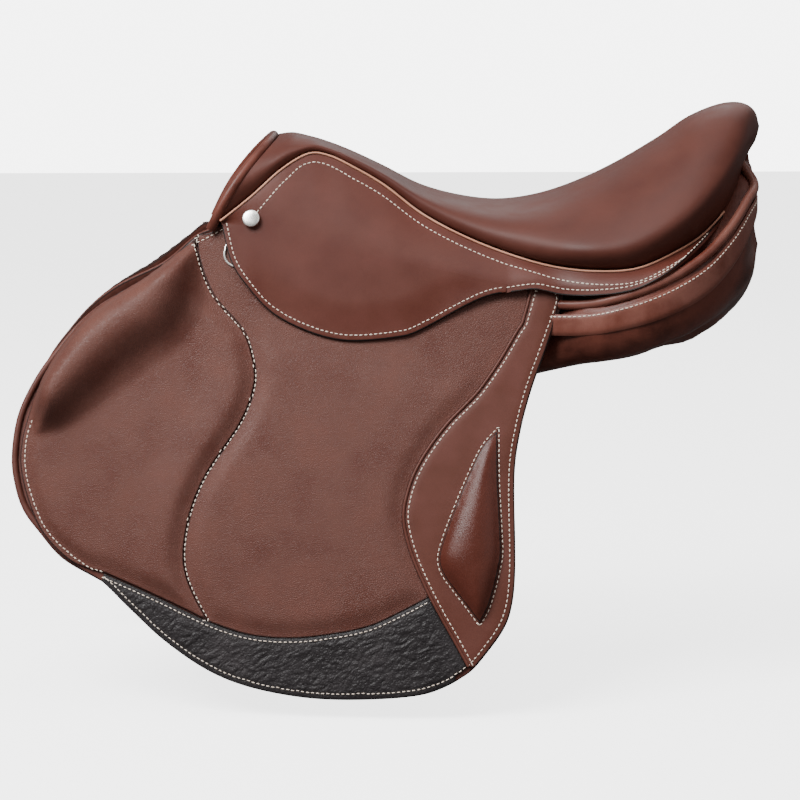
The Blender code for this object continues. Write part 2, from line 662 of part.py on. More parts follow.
def panel_ring(section):
    x, inner, outer, low_in, low_out, crease, seam, top = section
    flat_out = min(BEARING_OUT[1], outer - 0.016)
    flat_in = min(BEARING_OUT[0], flat_out - 0.004)
    ring = [(inner, top), (inner - 0.0015, (top + low_in) / 2), (inner + 0.005, low_in + 0.006),
            (flat_in, low_in), (flat_out, low_out)]
    if outer > 0.100:
        ring.append((outer - 0.022, low_out + 0.001))
    else:
        ring.append((flat_out + 0.004, low_out + 0.001))
    ring += [(outer - 0.006, low_out + (crease - low_out) * 0.35), (outer, crease),
             (outer - 0.002, seam), (outer - 0.013, seam + 0.006), (inner + 0.012, top)]
    return [(x, min(out, under_flap(x, z)), z) for out, z in ring]


def make_panel(side, name, looks):
    rings = [[to_side(p, side) for p in panel_ring(s)] for s in PANEL_SECTIONS]
    add_object(f"panel_{name}", *stacked_rings(rings), looks["panel"])

    rear = [s for s in PANEL_SECTIONS if s[0] > 0.060]
    wall = [[Vector(panel_ring(s)[i]) for i in (7, 8)] for s in rear]
    outwards = lambda p: Vector((max(p.x - 0.12, 0) * 1.2, p.y, 0.0))
    outer = sunk(wall, GAP + 0.002, outwards)
    inner = sunk(wall, GAP, outwards)
    grids = [[[to_side(p, side) for p in row] for row in grid] for grid in (outer, inner)]
    add_object(f"panel_gusset_{name}", *thick_sheet(*grids), looks["panel"])

    roll = [Vector((s[0], s[2] - 0.0075, s[6] + 0.0092)) for s in rear[:-1]]
    add_cord(f"panel_welt_{name}", [to_side(p, side) for p in smooth_run(roll, 2)], 0.0042,
             looks["panel"], resolution=1)


def make_pommel_roll(look):
    """The stuffed roll round the front of the pommel arch."""
    half = [Vector(p) + Vector((-0.0065, 0, 0.0)) for p in seat_arc(SEAT_SECTIONS[0], 0.0005)]
    half = half[:-1]
    path = [to_side(p, LEFT) for p in reversed(half[1:])] + [to_side(p, RIGHT) for p in half]
    add_cord("pommel_roll", path, 0.0042, look, resolution=2)


def make_facing(look):
    """Leather that lines the pommel arch from its front roll back to the panels."""
    arch = seat_arc(SEAT_SECTIONS[0], 0)[:6]
    outer = [(x - 0.0075, out * 0.90, z - 0.0062) for x, out, z in arch]
    inner = [(x - 0.0040, out * 0.66, z - 0.024) for x, out, z in outer]
    rows = [[to_side(p, LEFT) for p in reversed(row[1:])] + [to_side(p, RIGHT) for p in row]
            for row in (outer, inner)]
    behind = [[p + Vector((0.0020, 0, 0)) for p in row] for row in rows]
    add_object("pommel_facing", *thick_sheet(rows, behind), look)


# ---------------------------------------------------------------- the saddle

def main():
    for old in list(bpy.data.objects):
        bpy.data.objects.remove(old)

    looks = {
        "seat": finish("seat_leather", "8A655C", 0.45),
        "skirt": finish("skirt_leather", "7A5449", 0.40),
        "flap": finish("flap_leather", "8F6A60", 0.42),
        "pad": finish("grained_leather", "84625A", 0.55),
        "band": finish("band_leather", "86625A", 0.42),
        "block": finish("block_leather", "7C574C", 0.40),
        "strip": finish("black_buffalo_leather", "464040", 0.50),
        "panel": finish("panel_leather", "50322A", 0.48),
        "piping": finish("piping_leather", "DDB49C", 0.50),
        "billet": finish("billet_leather", "6A4438", 0.50),
        "foam": finish("latex_foam", "D9CFA8", 0.90),
        "webbing": finish("nylon_webbing", "CFC6B0", 0.80),
        "beech": finish("beech_laminate", "B98F5F", 0.60),
        "point": finish("point_leather", "6B4A36", 0.60),
        "steel": finish("stainless_steel", "C9CACC", 0.25, 1.0),
    }

    make_tree(looks)
    make_seat(looks)
    make_pommel_roll(looks["panel"])
    make_facing(looks["panel"])
    for side, name in SIDES:
        make_welts(side, name, looks["piping"])
        make_skirt_top(side, name, looks["skirt"])
        make_nail(side, name, looks["steel"])
        make_stirrup_bar(side, name, looks)
        make_panel(side, name, looks)
        make_sweat_flap(side, name, looks["flap"])
        make_billets(side, name, looks)
        make_flap(side, name, looks)
        make_skirt_lobe(side, name, looks["skirt"])
        make_dee(side, name, looks)


main()
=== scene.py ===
# %% [markdown]
# # An English jumping saddle
# The saddle is made of about forty kinds of leather, wood and steel pieces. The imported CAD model
# is the fixed frame: it says where each piece is and which body it moves with. This script
# builds what the eye sees around that frame, piece by piece, as a saddler would: leather is cut
# flat from a pattern, given its thickness and edges, moulded, and then laid on the saddle.

# %% Load the frame
import json
import math

import bmesh
import bpy
import numpy as np
from mathutils import Matrix, Vector, noise
from mathutils.bvhtree import BVHTree
from mathutils.geometry import delaunay_2d_cdt

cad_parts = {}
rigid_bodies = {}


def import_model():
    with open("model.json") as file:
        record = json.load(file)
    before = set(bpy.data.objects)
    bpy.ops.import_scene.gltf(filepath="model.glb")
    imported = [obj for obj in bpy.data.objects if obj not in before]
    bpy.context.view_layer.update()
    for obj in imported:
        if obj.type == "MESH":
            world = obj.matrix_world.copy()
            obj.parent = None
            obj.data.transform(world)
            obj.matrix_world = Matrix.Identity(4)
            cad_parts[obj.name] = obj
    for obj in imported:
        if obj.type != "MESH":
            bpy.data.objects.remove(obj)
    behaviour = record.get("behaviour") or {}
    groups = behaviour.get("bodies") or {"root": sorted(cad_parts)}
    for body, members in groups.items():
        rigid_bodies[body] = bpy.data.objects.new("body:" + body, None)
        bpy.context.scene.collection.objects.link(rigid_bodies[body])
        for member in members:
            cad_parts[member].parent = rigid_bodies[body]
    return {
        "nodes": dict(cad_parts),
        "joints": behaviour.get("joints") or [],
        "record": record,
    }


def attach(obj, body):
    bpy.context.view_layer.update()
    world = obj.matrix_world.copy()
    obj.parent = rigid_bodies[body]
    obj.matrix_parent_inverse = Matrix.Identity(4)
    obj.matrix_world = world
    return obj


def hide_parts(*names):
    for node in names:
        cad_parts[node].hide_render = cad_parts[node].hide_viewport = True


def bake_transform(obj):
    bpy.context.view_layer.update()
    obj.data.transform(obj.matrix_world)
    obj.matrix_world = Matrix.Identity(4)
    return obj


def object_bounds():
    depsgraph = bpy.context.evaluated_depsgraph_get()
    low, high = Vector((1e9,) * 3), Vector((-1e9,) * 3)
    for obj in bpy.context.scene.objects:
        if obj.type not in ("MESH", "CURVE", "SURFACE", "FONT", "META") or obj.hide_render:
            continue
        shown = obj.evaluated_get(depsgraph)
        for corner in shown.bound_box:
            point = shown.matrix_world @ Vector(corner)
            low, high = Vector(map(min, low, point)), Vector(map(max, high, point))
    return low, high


bpy.ops.object.select_all(action="SELECT")
bpy.ops.object.delete()
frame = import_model()
cad_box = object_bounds()
NODES = frame["nodes"]
JOINTS = {joint["name"]: joint for joint in frame["joints"]}
MOUNTS = {mount["name"]: mount for mount in frame["record"]["mounts"]}
MM = 0.001
print("CAD box", [[round(float(c), 3) for c in corner] for corner in cad_box])

# %% [markdown]
# ## Two coordinate systems
# Flaps, pads and straps are flat leather, so they are easiest to draw on their own flat pattern:
# u runs along the line where the flap bends away from the saddle, v runs down from that line,
# and depth goes in towards the horse. The joint that lifts the left flap gives the origin and u,
# and the face of a girth strap gives the outward direction. Everything is modelled on the left,
# and copied to the right at the end, as a mirror image.

# %% The pattern's place on the saddle
lift = JOINTS["flap_left_lift"]
ORIGIN = np.array(lift["pos_m"], float)
ALONG = np.array(lift["axis"], float)
ALONG *= np.sign(ALONG[0])
OUT = np.array(MOUNTS["billet_front_left"]["axis"], float)
DOWN = np.cross(OUT, ALONG)
DOWN *= -np.sign(DOWN[2])


def to_pattern(points):
    """World points as (u, v, depth) on the left flap's pattern."""
    off = np.asarray(points, float) - ORIGIN
    return np.column_stack([off @ ALONG, off @ DOWN, -(off @ OUT)])


def to_world(u, v, depth):
    """World points from the left flap's pattern."""
    u, v, depth = np.broadcast_arrays(u, v, depth)
    return (ORIGIN + u[..., None] * ALONG + v[..., None] * DOWN - depth[..., None] * OUT)


print("pattern axes", ALONG.round(3), DOWN.round(3), OUT.round(3))

# %% [markdown]
# ## Small tools
# An operator acts on everything that is selected, so each use of one starts by selecting one
# piece alone. Modifiers are applied at once, because each later step needs the real vertices.

# %% Selecting, modifiers and vertices
def pick(piece):
    """Select one object alone, and make it the active one."""
    if bpy.context.mode != "OBJECT":
        bpy.ops.object.mode_set(mode="OBJECT")
    bpy.ops.object.select_all(action="DESELECT")
    piece.select_set(True)
    bpy.context.view_layer.objects.active = piece


def modify(piece, kind, **settings):
    """Add a modifier and apply it."""
    pick(piece)
    added = piece.modifiers.new(kind.title(), kind)
    for name, value in settings.items():
        setattr(added, name, value)
    bpy.ops.object.modifier_apply(modifier=added.name)


def new_piece(name, points, faces):
    mesh = bpy.data.meshes.new(name)
    mesh.from_pydata([tuple(map(float, p)) for p in points], [], faces)
    piece = bpy.data.objects.new(name, mesh)
    bpy.context.collection.objects.link(piece)
    return piece


def get_points(piece):
    flat = np.empty(len(piece.data.vertices) * 3)
    piece.data.vertices.foreach_get("co", flat)
    return flat.reshape(-1, 3)


def set_points(piece, points):
    piece.data.vertices.foreach_set("co", np.asarray(points, float).ravel())
    piece.data.update()


def store(piece, name, values):
    """Keep one number per vertex, for the materials to read."""
    layer = piece.data.attributes.get(name) or piece.data.attributes.new(name, "FLOAT", "POINT")
    layer.data.foreach_set("value", np.asarray(values, np.float32))


def smooth(piece, angle=40):
    """Turn the faces outwards and shade them smooth, except across sharp edges."""
    pick(piece)
    bpy.ops.object.mode_set(mode="EDIT")
    bpy.ops.mesh.select_all(action="SELECT")
    bpy.ops.mesh.normals_make_consistent(inside=False)
    bpy.ops.object.mode_set(mode="OBJECT")
    bpy.ops.object.shade_smooth_by_angle(angle=math.radians(angle))


# %% Lines and distances
def ease(x, low=0.0, high=1.0):
    """0 below low, 1 above high, and a smooth rise between."""
    t = np.clip((np.asarray(x, float) - low) / (high - low), 0, 1)
    return t * t * (3 - 2 * t)


def spaced(line, pitch, closed=False):
    """Points at an even spacing along a line."""
    line = np.asarray(line, float)
    if closed:
        line = np.vstack([line, line[:1]])
    steps = np.linalg.norm(np.diff(line, axis=0), axis=1)
    reach = np.concatenate([[0], np.cumsum(steps)])
    count = max(2, int(round(reach[-1] / pitch)) + 1)
    at = np.linspace(0, reach[-1], count)
    even = np.column_stack([np.interp(at, reach, line[:, k]) for k in range(line.shape[1])])
    return even[:-1] if closed else even


def curved(points, steps=8):
    """A smooth Catmull-Rom run through the given points."""
    p = np.asarray(points, float)
    if len(p) < 3:
        return p
    p = np.vstack([2 * p[0] - p[1], p, 2 * p[-1] - p[-2]])
    t = (np.arange(steps) / steps)[:, None]
    run = []
    for a, b, c, d in zip(p, p[1:], p[2:], p[3:]):
        run.append(0.5 * (2 * b + (c - a) * t + (2 * a - 5 * b + 4 * c - d) * t ** 2
                          + (3 * b - a - 3 * c + d) * t ** 3))
    return np.vstack([*run, p[-2:-1]])


def distance(points, line):
    """Distance from flat points to a line, negative on its right hand, and the place along it."""
    points = np.asarray(points, float)[:, :2]
    best = np.full(len(points), np.inf)
    sign = np.ones(len(points))
    place = np.zeros(len(points))
    run = 0.0
    for a, b in zip(line[:-1], line[1:]):
        ab = b - a
        size = float(ab @ ab)
        if size < 1e-16:
            continue
        t = np.clip(((points - a) @ ab) / size, 0, 1)
        off = points - (a + t[:, None] * ab)
        d = np.hypot(off[:, 0], off[:, 1])
        nearer = d < best - 1e-9
        best[nearer] = d[nearer]
        side = ab[0] * (points[:, 1] - a[1]) - ab[1] * (points[:, 0] - a[0])
        sign[nearer] = np.where(side[nearer] < 0, -1, 1)
        place[nearer] = run + t[nearer] * math.sqrt(size)
        run += math.sqrt(size)
    return best * sign, place


def nearest_on(line, points):
    """The nearest points of a line."""
    _, place = distance(points, line)
    reach = np.concatenate([[0], np.cumsum(np.linalg.norm(np.diff(line, axis=0), axis=1))])
    return np.column_stack([np.interp(place, reach, line[:, k]) for k in range(2)])


def within(points, loop):
    """Which flat points lie inside a closed loop."""
    x, y = points[:, 0], points[:, 1]
    inside = np.zeros(len(points), bool)
    for a, b in zip(loop, np.roll(loop, -1, axis=0)):
        crosses = (a[1] > y) != (b[1] > y)
        with np.errstate(divide="ignore", invalid="ignore"):
            at = (b[0] - a[0]) * (y - a[1]) / (b[1] - a[1]) + a[0]
        inside ^= crosses & (x < at)
    return inside


# %% [markdown]
# ## Reading a pattern piece back from the CAD
# Each flat CAD plate is an outline given a thickness. The faces on its outer side have a border,
# and that border is the outline. The CAD draws it with short straight edges, so it is smoothed
# again here between its true corners.

# %% Outlines from the frame
CORNER = math.radians(34)


def outline_of(node, pitch=2.5 * MM, base=False):
    """The outline of a flat CAD plate's outer face or base, smooth between its corners."""
    bm = bmesh.new()
    bm.from_mesh(NODES[node].data)
    bmesh.ops.remove_doubles(bm, verts=bm.verts, dist=2e-5)
    flat = to_pattern([v.co for v in bm.verts])
    depth = flat[:, 2]
    bm.verts.index_update()
    level = depth.max() if base else depth.min()
    outer = {f for f in bm.faces if all(abs(depth[v.index] - level) < 2e-4 for v in f.verts)}
    after = {}
    for edge in bm.edges:
        faces = [f for f in edge.link_faces if f in outer]
        if len(faces) == 1:
            a, b = edge.verts[0].index, edge.verts[1].index
            after.setdefault(a, []).append(b)
            after.setdefault(b, []).append(a)
    start = next(iter(after))
    order, last, here = [start], None, start
    while True:
        ahead = [n for n in after[here] if n != last]
        last, here = here, ahead[0]
        if here == start:
            break
        order.append(here)
    bm.free()
    loop = flat[order, :2]
    before, behind = loop - np.roll(loop, 1, axis=0), np.roll(loop, -1, axis=0) - loop
    turn = np.abs(np.arctan2(before[:, 0] * behind[:, 1] - before[:, 1] * behind[:, 0],
                             (before * behind).sum(axis=1)))
    corners = list(np.nonzero(turn > CORNER)[0])
    if not corners:
        corners = [0]
    runs = []
    for first, end in zip(corners, corners[1:] + [corners[0] + len(loop)]):
        run = loop[np.arange(first, end + 1) % len(loop)]
        runs.append(spaced(curved(run, 6), pitch)[:-1])
    loop = np.vstack(runs)
    area = (loop[:, 0] * np.roll(loop[:, 1], -1) - loop[:, 1] * np.roll(loop[:, 0], -1)).sum()
    return loop if area > 0 else loop[::-1]


OUTLINES = {kind: outline_of(f"{kind}_left", base=kind.endswith("block")) for kind in
            ("flap", "knee_pad", "flap_panel", "rear_band", "grip_strip", "knee_block",
             "thigh_block", "sweat_flap")}


def clear_corner(loop, left, right, below):
    """Leave out the points at a corner, so that the edge runs straight across it."""
    at_corner = (left < loop[:, 0]) & (loop[:, 0] < right) & (loop[:, 1] < below)
    return spaced(loop[~at_corner], 2.5 * MM, closed=True)


def raised_ends(loop, top_edge):
    """Raise both ends of a top edge, which the skirt covers, over the hinge line."""
    loop = loop.copy()
    lift = 11 * ease(loop[:, 0], 226 * MM, 243 * MM)
    lift += 4.5 * (1 - ease(loop[:, 0], -8 * MM, 14 * MM))
    loop[:, 1] -= np.where(loop[:, 1] < top_edge, lift * MM, 0)
    return spaced(loop, 2.5 * MM, closed=True)


OUTLINES["flap"] = raised_ends(clear_corner(OUTLINES["flap"], -28 * MM, -11 * MM, 12 * MM),
                               9 * MM)
OUTLINES["sweat_flap"] = clear_corner(OUTLINES["sweat_flap"], -36 * MM, -20 * MM, 17 * MM)
for kind, loop in OUTLINES.items():
    print(kind, len(loop), "points")


def closed_line(loop):
    return np.vstack([loop, loop[:1]])


def set_in(loop, amount):
    """The loop moved inwards by an amount."""
    ahead = np.roll(loop, -2, axis=0) - np.roll(loop, 2, axis=0)
    ahead /= np.linalg.norm(ahead, axis=1)[:, None]
    return loop + np.column_stack([-ahead[:, 1], ahead[:, 0]]) * amount


def beside(line, amount):
    """A line moved sideways."""
    ahead = np.gradient(line, axis=0)
    ahead /= np.linalg.norm(ahead, axis=1)[:, None]
    return line + np.column_stack([-ahead[:, 1], ahead[:, 0]]) * amount


def towards(line, place, amount):
    """A line moved sideways, to the side where a place is."""
    one, other = beside(line, amount), beside(line, -amount)
    place = np.array(place) * MM
    return min((one, other), key=lambda l: np.linalg.norm(l - place, axis=1).mean())

# %% [markdown]
# ## Camera, light and floor
# The saddle is seen from its left side, very slightly from the front and from a little above.
# It floats just over a pale floor in the light of four large soft lamps, as in a studio. The
# wall and the floor look bright to the camera, but send little light back onto the leather.

# %% Camera, lamps and floor
AIM = Vector((-0.079, 0.0, -0.026))
DISTANCE = 2.6
AZIMUTH, ELEVATION = math.radians(-2), math.radians(8)
FIELD = 0.704                    # width of what the camera sees, at the aim
SENSOR = 36.0


def away(azimuth, elevation, reach):
    """A place round the saddle: azimuth 0 is its left side, and 90 its rear."""
    return AIM + reach * Vector((math.sin(azimuth) * math.cos(elevation),
                                 -math.cos(azimuth) * math.cos(elevation),
                                 math.sin(elevation)))


def look_at(thing, place, target):
    thing.location = place
    thing.rotation_euler = (target - place).to_track_quat("-Z", "Y").to_euler()


camera = bpy.data.objects.new("camera", bpy.data.cameras.new("camera"))
bpy.context.collection.objects.link(camera)
camera.data.lens = SENSOR * DISTANCE / FIELD
camera.data.sensor_width = SENSOR
look_at(camera, away(AZIMUTH, ELEVATION, DISTANCE), AIM)
bpy.context.scene.camera = camera

for label, azimuth, elevation, reach, size, watts in (
        ("key_lamp", -48, 46, 2.4, 1.2, 100), ("fill_lamp", 40, 25, 3.0, 2.2, 12),
        ("top_lamp", -10, 80, 2.4, 2.0, 26), ("back_lamp", 160, 40, 2.6, 1.6, 14)):
    lamp = bpy.data.objects.new(label, bpy.data.lights.new(label, "AREA"))
    bpy.context.collection.objects.link(lamp)
    lamp.data.size = size
    lamp.data.energy = watts
    look_at(lamp, away(math.radians(azimuth), math.radians(elevation), reach), AIM)

world = bpy.data.worlds.new("pale_room")
world.use_nodes = True
sky = world.node_tree.nodes
room = sky["Background"]
room.inputs["Color"].default_value = (1, 1, 1, 1)
room.inputs["Strength"].default_value = 0.30
wall = sky.new("ShaderNodeBackground")
wall.inputs["Color"].default_value = (1, 1, 1, 1)
wall.inputs["Strength"].default_value = 6.0
choose, seen = sky.new("ShaderNodeMixShader"), sky.new("ShaderNodeLightPath")
for source, socket in ((seen.outputs["Is Camera Ray"], choose.inputs[0]),
                       (room.outputs[0], choose.inputs[1]), (wall.outputs[0], choose.inputs[2]),
                       (choose.outputs[0], sky["World Output"].inputs["Surface"])):
    world.node_tree.links.new(source, socket)
bpy.context.scene.world = world

bpy.ops.mesh.primitive_plane_add(size=14, location=(0, 0, cad_box[0][2] - 0.015))
floor = bpy.context.object
floor.name = "floor"
pick(floor)
bpy.ops.object.transform_apply(location=True)
paper = bpy.data.materials.new("white_studio_paper")
paper.use_nodes = True
sheet = paper.node_tree
matt = sheet.nodes["Principled BSDF"]
matt.inputs["Base Color"].default_value = (0.8, 0.8, 0.8, 1)
matt.inputs["Roughness"].default_value = 0.8
lit, grey = sheet.nodes.new("ShaderNodeEmission"), sheet.nodes.new("ShaderNodeBsdfDiffuse")
lit.inputs["Strength"].default_value = 3.0
grey.inputs["Color"].default_value = (0.12, 0.12, 0.12, 1)
bright, choose = sheet.nodes.new("ShaderNodeAddShader"), sheet.nodes.new("ShaderNodeMixShader")
seen = sheet.nodes.new("ShaderNodeLightPath")
for source, socket in ((matt.outputs[0], bright.inputs[0]), (lit.outputs[0], bright.inputs[1]),
                       (seen.outputs["Is Camera Ray"], choose.inputs[0]),
                       (grey.outputs[0], choose.inputs[1]), (bright.outputs[0], choose.inputs[2]),
                       (choose.outputs[0], sheet.nodes["Material Output"].inputs["Surface"])):
    sheet.links.new(source, socket)
floor.data.materials.append(paper)

# %% [markdown]
# ## Materials
# Each finish is a small tree of nodes. One function adds a node with its settings and links, and
# one turns a colour code to the linear numbers that the shader wants.

# %% Node and colour tools
def linear(code):
    channels = [int(code[i:i + 2], 16) / 255 for i in (0, 2, 4)]
    return (*[c / 12.92 if c <= 0.04045 else ((c + 0.055) / 1.055) ** 2.4 for c in channels], 1)


def node(tree, kind, settings=None, links=None):
    """Add a node. Settings are its own properties or the values of its sockets."""
    made = tree.nodes.new(kind)
    for name, value in (settings or {}).items():
        if isinstance(name, str) and hasattr(made, name):
            setattr(made, name, value)
        else:
            made.inputs[name].default_value = value
    for name, source in (links or {}).items():
        tree.links.new(source, made.inputs[name])
    return made


def blank_material(name, roughness, **sockets):
    made = bpy.data.materials.new(name)
    made.use_nodes = True
    tree = made.node_tree
    shader = tree.nodes["Principled BSDF"]
    shader.inputs["Roughness"].default_value = roughness
    for socket, value in sockets.items():
        shader.inputs[socket.replace("_", " ")].default_value = value
    return made, tree, shader


def ramp_of(tree, source, stops):
    """A colour ramp on a value. Stops are (place, hex colour)."""
    made = node(tree, "ShaderNodeValToRGB", links={"Fac": source})
    steps = made.color_ramp.elements
    while len(steps) < len(stops):
        steps.new(0.5)
    for step, (place, code) in zip(steps, stops):
        step.position, step.color = place, linear(code)
    return made.outputs["Color"]


def curve_of(tree, source, low, high, start, end):
    """A value mapped smoothly from one range to another."""
    return node(tree, "ShaderNodeMapRange",
                {"interpolation_type": "SMOOTHSTEP", "From Min": low, "From Max": high,
                 "To Min": start, "To Max": end}, {"Value": source}).outputs["Result"]


def blended(tree, factor, first, second, how="MIX"):
    """Two colours mixed by a factor, which may be a number."""
    made = node(tree, "ShaderNodeMix", {"data_type": "RGBA", "blend_type": how})
    for index, value in ((0, factor), (6, first), (7, second)):
        if isinstance(value, bpy.types.NodeSocket):
            tree.links.new(value, made.inputs[index])
        else:
            made.inputs[index].default_value = value
    return made.outputs[2]


# %% [markdown]
# ### Leather
# All the leather here is full-grain hide, dyed through and waxed. Smooth calf shows fine pores
# and slow clouds of colour, from the way the dye takes. Grained calf has been tumbled, so that
# its surface is broken into small rounded pebbles. Both are drawn from object coordinates in
# real sizes. Each piece also carries its distance to its own cut edge, because edges are dyed
# darker and the wax there rubs off.

# %% One function for every leather
def leather(name, base, dark, light, pebble=0.9, depth=0.06, pores=0.35, roughness=0.44,
            edge_code="2A1A17", edge_reach=1.1, crease=0.0, coat=0.04, cloud=38.0):
    """Leather with pebbles of that size in mm, that deep in mm, and an edge dye."""
    made, tree, shader = blank_material(name, roughness, Coat_Weight=coat, Coat_Roughness=0.3,
                                        Specular_IOR_Level=0.22, IOR=1.5)
    place = node(tree, "ShaderNodeTexCoord").outputs["Object"]
    clouds = node(tree, "ShaderNodeTexNoise", {"Scale": 1000 / cloud, "Detail": 5.0,
                                               "Roughness": 0.55}, {"Vector": place})
    warp = node(tree, "ShaderNodeTexNoise", {"Scale": 420 / pebble, "Detail": 2.0},
                {"Vector": place})
    pulled = node(tree, "ShaderNodeVectorMath", {"operation": "MULTIPLY_ADD",
                                                 1: (0.0009 * pebble,) * 3},
                  {0: warp.outputs["Color"], 2: place})
    cells = node(tree, "ShaderNodeTexVoronoi", {"feature": "DISTANCE_TO_EDGE",
                                                "Scale": 1000 / pebble},
                 {"Vector": pulled.outputs[0]})
    valley = curve_of(tree, cells.outputs["Distance"], 0.0, 0.32, 0.0, 1.0)
    pore = node(tree, "ShaderNodeTexNoise", {"Scale": 1000 / pores, "Detail": 3.0},
                {"Vector": place})
    colour = ramp_of(tree, clouds.outputs["Fac"], ((0.30, dark), (0.52, base), (0.75, light)))
    # Painted shade: the colour is made up to a fifth darker in the grain's valleys, where the bump
    # sinks, as the shade that falls in the crevices between the pebbles.
    shade = node(tree, "ShaderNodeMapRange", {"To Min": 0.80, "To Max": 1.0}, {"Value": valley})
    grey = node(tree, "ShaderNodeCombineColor", links={c: shade.outputs["Result"] for c in
                                                       ("Red", "Green", "Blue")})
    colour = blended(tree, 1.0, colour, grey.outputs["Color"], "MULTIPLY")
    edge = node(tree, "ShaderNodeAttribute", {"attribute_name": "edge"}).outputs["Fac"]
    near_edge = curve_of(tree, edge, 0.0, 9 * MM, 0.22, 0.0)
    colour = blended(tree, near_edge, colour, linear(dark))
    at_edge = curve_of(tree, edge, edge_reach * MM * 0.5, edge_reach * MM, 1.0, 0.0)
    colour = blended(tree, at_edge, colour, linear(edge_code))
    tree.links.new(colour, shader.inputs["Base Color"])
    gloss = curve_of(tree, clouds.outputs["Fac"], 0.3, 0.7, roughness - 0.06, roughness + 0.07)
    tree.links.new(gloss, shader.inputs["Roughness"])
    fine = node(tree, "ShaderNodeBump", {"Strength": 0.35, "Distance": 0.03 * MM},
                {"Height": pore.outputs["Fac"]})
    grain = node(tree, "ShaderNodeBump", {"Strength": 1.0, "Distance": depth * MM},
                 {"Height": valley, "Normal": fine.outputs["Normal"]})
    top = grain
    if crease:
        folds = node(tree, "ShaderNodeTexNoise", {"Scale": 210.0, "Detail": 4.0,
                                                  "Distortion": 1.4}, {"Vector": place})
        top = node(tree, "ShaderNodeBump", {"Strength": 1.0, "Distance": crease * MM},
                   {"Height": folds.outputs["Fac"], "Normal": grain.outputs["Normal"]})
    tree.links.new(top.outputs["Normal"], shader.inputs["Normal"])
    return made


FLAP = leather("smooth_calf_flap_leather", "643C34", "583027", "653A30", 0.55, 0.02)
PAD = leather("tumbled_grained_calf", "633D34", "5B332A", "694036", 1.45, 0.2,
              roughness=0.47, edge_code="2E1510")
BLOCK = leather("calf_drawn_over_block", "54281E", "4C231A", "5C2E24", 0.8, 0.035,
                roughness=0.33, crease=0.2)
BAND = leather("band_calf_leather", "5E342A", "573026", "643930", 0.55, 0.02)
SKIRT = leather("skirt_calf_leather", "592D23", "53281F", "603229", 0.55, 0.022,
                edge_code="15100F", edge_reach=1.3)
SEAT = leather("seat_calf_leather", "542B22", "4E271F", "5A3027", 0.6, 0.02, roughness=0.5,
               coat=0.03)
PANEL = leather("panel_calf_leather", "6A392E", "431F17", "542A20", 0.7, 0.03, roughness=0.42)
PANEL_BAND = leather("panel_band_calf_leather", "7C4D42", "613126", "724035", 0.6, 0.025,
                     roughness=0.38)
FOAM = leather("cut_latex_foam", "D3C797", "C4B684", "DDD3AA", 1.4, 0.12, roughness=0.9, coat=0.0,
               edge_code="CDBF8E")
STRIP = leather("coarse_buffalo_hide", "2C2829", "231F20", "353031", 2.6, 0.2,
                roughness=0.48, edge_code="131011")


# %% [markdown]
# ## Cutting leather
# A saddler presses a steel die through the hide. Here the outline is filled with even triangles,
# which a constrained Delaunay triangulation does for any shape, where an operator would leave
# one large face that can't be moulded. Solidify gives the hide its thickness, and Bevel rounds
# the two cut edges, as an edge tool does.

# %% Cut, mould and lay
def cut_leather(name, loop, thick, pitch=3.0 * MM, round_off=0.6 * MM, holes=()):
    """A flat piece on the pattern: u and v are its x and y, and its outer face is up."""
    low, high = loop.min(axis=0), loop.max(axis=0)
    columns = np.arange(low[0], high[0], pitch)
    lines = np.arange(low[1], high[1], pitch * 0.87)
    grid = np.array([(x + (k % 2) * pitch / 2, y) for k, y in enumerate(lines) for x in columns])
    grid = grid[within(grid, loop)]
    clear = np.abs(distance(grid, closed_line(loop))[0]) > max(pitch * 0.6, round_off * 1.6)
    grid = grid[clear]
    for hole in holes:
        off = np.abs(distance(grid, closed_line(hole))[0])
        grid = grid[~within(grid, hole) & (off > pitch * 0.4)]
    edges, count = [], 0
    for ring in (loop, *holes):
        edges += [(count + i, count + (i + 1) % len(ring)) for i in range(len(ring))]
        count += len(ring)
    points = [Vector(p) for p in np.vstack([loop, *holes, grid])]
    flat, _, faces, *_ = delaunay_2d_cdt(points, edges, [], 1, 1e-7)
    flat = np.array([(p.x, p.y, 0) for p in flat])
    if holes:
        middle = flat[np.array(faces)].mean(axis=1)
        punched = np.any([within(middle, hole) for hole in holes], axis=0)
        faces = [f for f, gone in zip(faces, punched) if not gone]
    used, corners = np.unique(np.concatenate(faces), return_inverse=True)
    ends = np.cumsum([len(f) for f in faces])[:-1]
    faces = [tuple(f.tolist()) for f in np.split(corners, ends)]
    piece = new_piece(name, flat[used], faces)
    modify(piece, "SOLIDIFY", thickness=thick, offset=1.0, use_even_offset=True)
    points = get_points(piece)
    points[:, 2] -= points[:, 2].min()
    set_points(piece, points)
    if round_off:
        modify(piece, "BEVEL", width=round_off, segments=2, limit_method="ANGLE",
               angle_limit=math.radians(60))
    store(piece, "edge", np.abs(distance(get_points(piece), closed_line(loop))[0]))
    return piece


def bow(u, v):
    """How far the flap curves out from its plane, all layers alike."""
    return 5.0 * MM * np.sin(np.pi * np.clip((v - 90 * MM) / (300 * MM), 0, 1))


def lay(piece, depth, height=None, bowed=True):
    """Raise the outer face by height, then lay the piece with its inner face at a depth."""
    points = get_points(piece)
    u, v, z = points.T
    thick = z.max()
    if height is not None:
        z = z + height * ease(z / thick)
    depth = depth - z - (bow(u, v) if bowed else 0)
    set_points(piece, to_world(u, v, depth))
    smooth(piece)
    return piece


def flat_points(piece):
    return get_points(piece)[:, :2]

# %% [markdown]
# ## The flap
# The flap is one piece of stout leather. Everything else on it is sewn to it.

# %% Flap
def depths_of(kind):
    """Outer and inner depth of a CAD plate on the pattern."""
    depth = to_pattern([v.co for v in NODES[f"{kind}_left"].data.vertices])[:, 2]
    return float(depth.min()), float(depth.max())


PIECES = []                      # (piece, body or blend, CAD nodes it replaces, slot, fill)


